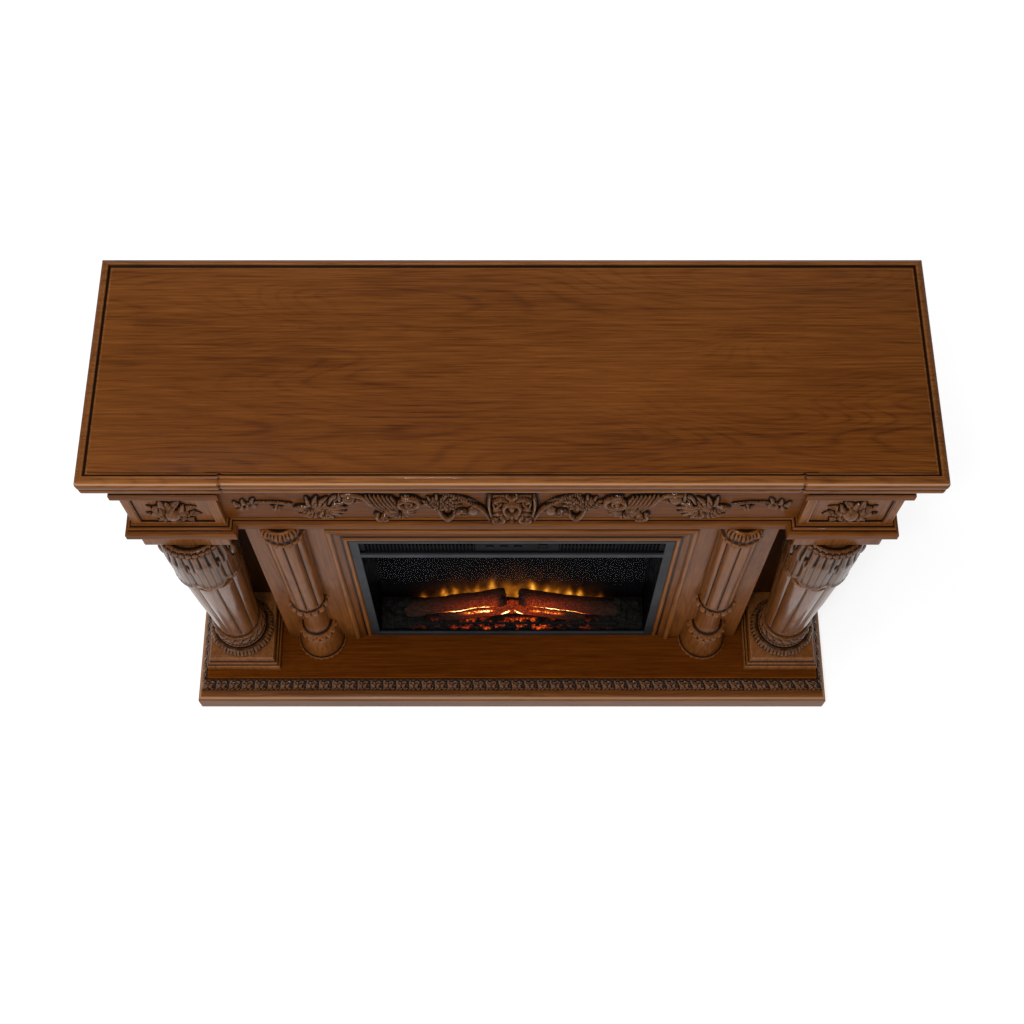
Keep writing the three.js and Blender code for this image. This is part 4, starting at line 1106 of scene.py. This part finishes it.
def make_grille():
    """Outlet grille: a frame with close upright fins either side of the controls."""
    low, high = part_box("outlet_grille")
    x1, y0, y1 = high.x / MM, low.y / MM, high.y / MM
    z0, z1 = low.z / MM, high.z / MM
    sides = [(0, 2, 3, 1), (4, 5, 7, 6), (0, 1, 5, 4), (1, 3, 7, 5), (3, 2, 6, 7), (2, 0, 4, 6)]
    parts = []

    def block(ax, bx, ay, by, az, bz):
        parts.append([(x, y, z) for z in (az, bz) for y in (ay, by) for x in (ax, bx)])

    plate = [(-x1, x1, z0, z0 + 8), (-x1, x1, z1 - 8, z1), (-x1, -x1 + 10, z0, z1), (x1 - 10, x1, z0, z1)]
    for ax, bx, az, bz in plate:
        block(ax, bx, y0, y1, az, bz)
    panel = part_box("control_panel")
    left, right = panel[0].x / MM - 3, panel[1].x / MM + 3
    for ax, bx in ((-x1 + 10, left), (right, x1 - 10)):
        count = int((bx - ax) / 7.2)
        pitch = (bx - ax) / count
        for i in range(count + 1):
            block(ax + i * pitch - 1.2, ax + i * pitch + 1.2, y0 + 0.4, y1, z0 + 8, z1 - 8)
        for z in np.linspace(z0 + 8, z1 - 8, 5)[1:-1]:
            block(ax, bx, y0 + 1.2, y1, z - 0.8, z + 0.8)
    verts = np.concatenate(parts)
    faces = [[i + 8 * k for i in f] for k in range(len(parts)) for f in sides]
    extra = {"glaze": np.zeros(len(verts))}
    piece(
        "louvre_grille", verts, faces, louvre_black, "black_metal", ["outlet_grille"],
        extra=extra, solid=False,
    )


# ---------- fire ----------
CHAR = [(0.3, (0.007, 0.004, 0.0035)), (0.5, (0.034, 0.015, 0.010)), (0.75, (0.095, 0.040, 0.027))]
ASH = [(0.3, (0.003, 0.003, 0.003)), (0.5, (0.011, 0.010, 0.009)), (0.75, (0.030, 0.026, 0.024))]
FIRE = [
    (0.0, (0.25, 0.01, 0.0)), (0.3, (0.75, 0.06, 0.005)), (0.6, (1.0, 0.24, 0.02)), (0.85, (1.0, 0.55, 0.09)),
    (1.0, (1.0, 0.85, 0.40)),
]


def rough(point, scale, octaves=4):
    return noise.fractal(Vector(point) * scale, 0.9, 2.1, octaves)


def log_mesh(start, end, radius, seed, rings=110, sides=72, broken=6.0):
    """A log with bark ridges, its ends broken off unevenly."""
    a, b = np.array(start, float), np.array(end, float)
    axis = (b - a) / np.linalg.norm(b - a)
    across = np.cross(axis, (0, 1, 0))
    across /= np.linalg.norm(across)
    up = np.cross(across, axis)
    verts = []
    for i in range(rings):
        t = i / (rings - 1)
        ease = min(1.0, (min(t, 1 - t) / 0.02) ** 0.5) if min(t, 1 - t) < 0.02 else 1.0
        for j in range(sides):
            q = 2 * math.pi * j / sides
            way = math.cos(q) * across + math.sin(q) * up
            centre = a + (b - a) * t
            spot = centre * 0.012 + way * 0.9 + seed
            ridge = abs(rough((spot[0] * 1.2, spot[1] * 3 + seed, spot[2] * 3), 2.2, 5))
            wave = rough(centre + seed * 40 + way * 6, 0.022, 2)
            size = radius * (0.93 + 0.10 * wave) - 3.4 * ridge
            if i in (0, rings - 1):
                size *= 0.35
            place = centre + way * size * (0.72 + 0.28 * ease)
            if min(t, 1 - t) < 0.03:
                place = place + axis * broken * rough(way * 1.7 + seed, 1.5, 3)
            verts.append(place)
    faces = [list(f) for f in grid_faces(rings, sides, wrap=True)]
    faces += [list(range(sides))[::-1], list(range((rings - 1) * sides, rings * sides))]
    return np.array(verts), faces


def lit_piece(name, verts, faces, material, slot, nodes, glow, sharp=180):
    """A piece of the fire, with the light that comes through each point."""
    piece(name, verts, faces, material, slot, nodes, sharp=sharp, extra={"glow": glow}, solid=False)


def line_glow(verts, start, end, width):
    """Brightness that falls away from a line."""
    a, b = np.array(start, float), np.array(end, float)
    t = np.clip(((verts - a) @ (b - a)) / ((b - a) @ (b - a)), 0, 1)
    gap = np.linalg.norm(verts - a - t[:, None] * (b - a), axis=1)
    return np.exp(-((gap / width) ** 2)) * np.sin(np.clip(t, 0.02, 0.98) * math.pi) ** 0.5


def make_fire():
    char = glowing("charred_resin", CHAR, FIRE, 5.0, 330)
    embers = glowing("ember_resin", ASH, FIRE, 6.0, 210)
    finish_node("fire_grate", painted("grate_iron", (0.012, 0.012, 0.013), 0.6, 0.4))

    for side, name in ((1, "right"), (-1, "left")):
        verts, faces = log_mesh((243, -76, 155), (16, -62, 202), 21, 3.0 + side)
        inward = np.clip((225 - verts[:, 0]) / 150, 0, 1)
        front = np.clip((-58 - verts[:, 1]) / 22, 0, 1)
        tip = np.clip((verts[:, 0] - 22) / 14, 0.1, 1)
        glow = inward * tip * (0.04 + 0.26 * front)
        glow = np.maximum(glow, 1.25 * line_glow(verts, (178, -94, 163), (34, -83, 192), 6.0))
        verts[:, 0] *= side
        nodes = [f"log_upper_{name}"]
        lit_piece(f"charred_log_{name}", verts, faces, char, "charred_resin", nodes, glow)
    bodies, surfaces, glows, start = [], [], [], 0
    for side in (1, -1):
        verts, faces = log_mesh((168, -88, 138), (-8, -77, 179), 16.5, 7.0 + side, rings=90, sides=64)
        glow = 0.30 * np.clip((150 - verts[:, 0]) / 110, 0.1, 1)
        glow = np.maximum(glow, 1.15 * line_glow(verts, (120, -92, 165), (34, -90, 184), 5))
        glow = np.maximum(glow, 1.05 * line_glow(verts, (30, -95, 165), (1, -90, 187), 3.6))
        verts[:, 0] *= side
        bodies.append(verts)
        surfaces += [[i + start for i in f] for f in faces]
        glows.append(glow)
        start += len(verts)
    verts, glow = np.concatenate(bodies), np.concatenate(glows)
    lit_piece("crossed_logs", verts, surfaces, char, "charred_resin", ["log_lower"], glow)
    make_embers(embers)
    make_flames()


def make_embers(material):
    """A bed of ash that rises to the screen, heaped with coals."""
    rng = np.random.default_rng(11)
    xs = np.linspace(-303, 303, 304)
    ys = np.linspace(-112, -39, 40)
    X, Y = np.meshgrid(xs, ys)
    heights = ([-112, -108, -88, -62, -38], [115.6, 124, 136, 148, 140])
    rise = np.interp(Y, *heights)
    Z = rise - 6 + 5 * np.array([[rough((x, y, 1.0), 0.06, 4) for x in xs] for y in ys])
    Z[0] = 115.6
    bed = np.stack([X, Y, Z], -1).reshape(-1, 3)
    patchy = np.array([np.clip(2.6 * rough((x, y, 7.0), 0.035, 2) + 0.45, 0, 1) for x, y, _ in bed])
    near = np.clip((-84 - bed[:, 1]) / 8, 0, 1)
    glow = np.clip(1.35 - np.abs(bed[:, 0]) / 190, 0, 1) * near * patchy * 0.42
    verts, faces, glows = [bed], [list(f) for f in grid_faces(len(ys), len(xs))], [glow]
    start = len(bed)
    ball = bmesh.new()
    bmesh.ops.create_icosphere(ball, subdivisions=3, radius=1.0)
    unit = np.array([v.co[:] for v in ball.verts])
    triangles = [[v.index for v in f.verts] for f in ball.faces]
    ball.free()
    for _ in range(190):
        far = rng.random() < 0.5
        x = rng.uniform(205, 292) * rng.choice((-1, 1)) if far else rng.uniform(-235, 235)
        y = rng.uniform(-96, -56) if far else rng.uniform(-105, -98)
        size = rng.uniform(6, 13) if far else rng.uniform(4, 7)
        lift = rng.uniform(0, 26) * (1 - abs(abs(x) - 245) / 60) if far else rng.uniform(0, 5)
        z = np.interp(y, *heights) + max(lift, 0)
        seed = rng.uniform(0, 50, 3)
        shape = np.array([1 + 0.30 * rough(v + seed, 1.1, 3) for v in unit])
        stone = unit * shape[:, None] * size * rng.uniform(0.8, 1.25, 3)
        stone[:, 1] = np.clip(stone[:, 1] + y, -110.5, -40)
        place = np.stack([stone[:, 0] + x, stone[:, 1], stone[:, 2] + z], -1)
        heat = 0.0 if far else 0.4 * max(0.0, 1.2 - abs(x) / 190) * (rng.random() < 0.6)
        verts.append(place)
        faces += [[i + start for i in f] for f in triangles]
        glows.append(heat * np.clip(0.9 - (stone[:, 2]) / size * 0.5, 0, 1))
        start += len(place)
    verts, glow = np.concatenate(verts), np.concatenate(glows)
    lit_piece("ember_heap", verts, faces, material, "ember_resin", ["ember_bed"], glow)


def make_flames():
    """Flames thrown on the dark screen behind the logs: a low glow with separate tongues."""
    low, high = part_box("flame_screen")
    xs = np.linspace(low.x / MM, high.x / MM, 300)
    zs = np.linspace(low.z / MM, high.z / MM, 220)
    X, Z = np.meshgrid(xs, zs)
    front, back = low.y / MM, high.y / MM
    heat = np.zeros_like(X)
    tongues = [
        (206, 134, 64, 0.5), (157, 158, 95, 0.8), (132, 160, 76, 0.66), (104, 172, 50, 0.35),
        (80, 180, 64, 0.55), (46, 204, 90, 0.66), (12, 160, 80, 0.2),
    ]
    for side in (1, -1):
        for k, (x, foot, tall, power) in enumerate(tongues):
            t = np.clip((Z - foot) / tall, -2, 1.4)
            sway = side * x + 4 * np.sin(t * 3 + k * 1.7 + side) * np.clip(t, 0, 1)
            wide = 6.5 * (1 - 0.8 * np.clip(t, 0, 1)) + 1.5
            heat = np.hypot(heat, power * np.exp(-(((X - sway) / wide) ** 2)) * (1 - np.clip(t, 0, 1)) ** 2.6)
    ridge = 205 - 0.36 * np.abs(X)
    base = np.exp(-np.maximum(Z - ridge, 0) / 78) * np.clip(1 - (np.abs(X) / 250) ** 2.5, 0, 1) * 0.38
    glow = np.clip(heat + base, 0, 1)
    face = np.stack([X, X * 0 + front, Z], -1).reshape(-1, 3)
    rear = face.copy()
    rear[:, 1] = back
    faces = [list(f) for f in grid_faces(len(zs), len(xs))]
    g = Graph("flame_screen_glass")
    level = g.attribute("glow")
    wisps = g.noise(g.stretched(g.place(), (1, 1, 0.3)), 34, 3, 0.6, 0.6)
    level = g.math("MULTIPLY", level, g.span(wisps, 0.3, 0.7, 0.45, 1.15))
    stops = [(0.0, (0.9, 0.20, 0.02)), (0.5, (1.0, 0.30, 0.02)), (1.0, (1.0, 0.50, 0.06))]
    glass = g.principled(
        Base_Color=(0.004, 0.004, 0.005, 1), Roughness=0.9, Specular_IOR_Level=0.0,
        Emission_Color=g.ramp(level, stops),
        Emission_Strength=g.math("MULTIPLY", g.math("POWER", level, 2.0), 1.7),
    )
    count = len(face)
    edges = [[i, i + 1, count + i + 1, count + i] for i in range(len(xs) - 1)]
    shown = np.concatenate([face, rear])
    faces += [[i + count for i in f][::-1] for f in grid_faces(len(zs), len(xs))] + edges
    glow = np.concatenate([glow.ravel(), np.zeros(count)])
    lit_piece("flame_sheet", shown, faces, glass, "smoked_screen", ["flame_screen"], glow, sharp=30)


# ---------- room ----------
def make_room():
    g = Graph("pale_floor")
    cloud = g.noise(g.place(), 3, 3)
    g.principled(
        Base_Color=g.mix(cloud, (0.34, 0.34, 0.34), (0.35, 0.35, 0.35)), Roughness=0.8,
        Emission_Color=(1, 1, 1, 1), Emission_Strength=0.80,
    )
    bpy.ops.mesh.primitive_plane_add(size=30, location=(0, 0, -0.0005))
    floor = bpy.context.object
    floor.name = "floor"
    floor.data.materials.append(g.material)

    def lamp(name, place, target, size, power):
        data = bpy.data.lights.new(name, "AREA")
        data.shape = "RECTANGLE"
        data.size, data.size_y = size
        data.energy = power
        made = bpy.data.objects.new(name, data)
        made.location = place
        made.rotation_euler = (Vector(target) - Vector(place)).to_track_quat("-Z", "Y").to_euler()
        bpy.context.scene.collection.objects.link(made)

    lamp("overhead", (-0.7, -0.6, 4.4), (0, -0.2, 0.0), (3.2, 1.6), 92)
    lamp("key", (-0.5, -1.7, 4.2), (0, -0.1, 0.6), (0.3, 0.3), 34)
    lamp("strip", (0, -4.4, 2.7), (0, -0.1, 0.7), (6.0, 0.3), 26)
    lamp("left", (-2.8, -3.0, 2.6), (0, 0, 0.5), (1.6, 1.6), 28)
    lamp("right", (2.8, -3.2, 2.4), (0, 0, 0.5), (1.6, 1.6), 3)
    lamp("rear", (0.0, 3.4, 2.6), (0, 0.8, 0.0), (5.0, 1.2), 45)

    world = bpy.data.worlds.new("studio")
    bpy.context.scene.world = world
    world.use_nodes = True
    tree = world.node_tree
    background = tree.nodes["Background"]
    background.inputs["Strength"].default_value = 0.42
    coord = tree.nodes.new("ShaderNodeTexCoord")
    split = tree.nodes.new("ShaderNodeSeparateXYZ")
    ramp = tree.nodes.new("ShaderNodeValToRGB")
    tree.links.new(coord.outputs["Generated"], split.inputs[0])
    tree.links.new(split.outputs["Z"], ramp.inputs[0])
    tree.links.new(ramp.outputs[0], background.inputs["Color"])
    stops = ramp.color_ramp.elements
    stops[0].position, stops[0].color = 0.0, (1.0, 1.0, 1.0, 1)
    stops[1].position, stops[1].color = 0.6, (0.04, 0.04, 0.04, 1)


def make_camera():
    data = bpy.data.cameras.new("camera")
    data.sensor_width = 36.0
    data.lens = 52.0
    made = bpy.data.objects.new("camera", data)
    made.location = (0.0, -1.235, 3.384)
    made.rotation_euler = (math.radians(90 - 66.5), 0, 0)
    bpy.context.scene.collection.objects.link(made)
    bpy.context.scene.camera = made
    bpy.context.scene.view_settings.view_transform = "Standard"


make_camera()
make_room()
make_shelf()
make_mouldings()
make_frieze()
make_blocks()
make_columns()
make_inner_columns()
make_case()
make_trim()
make_carved_band()
make_insert()
make_grille()
make_fire()
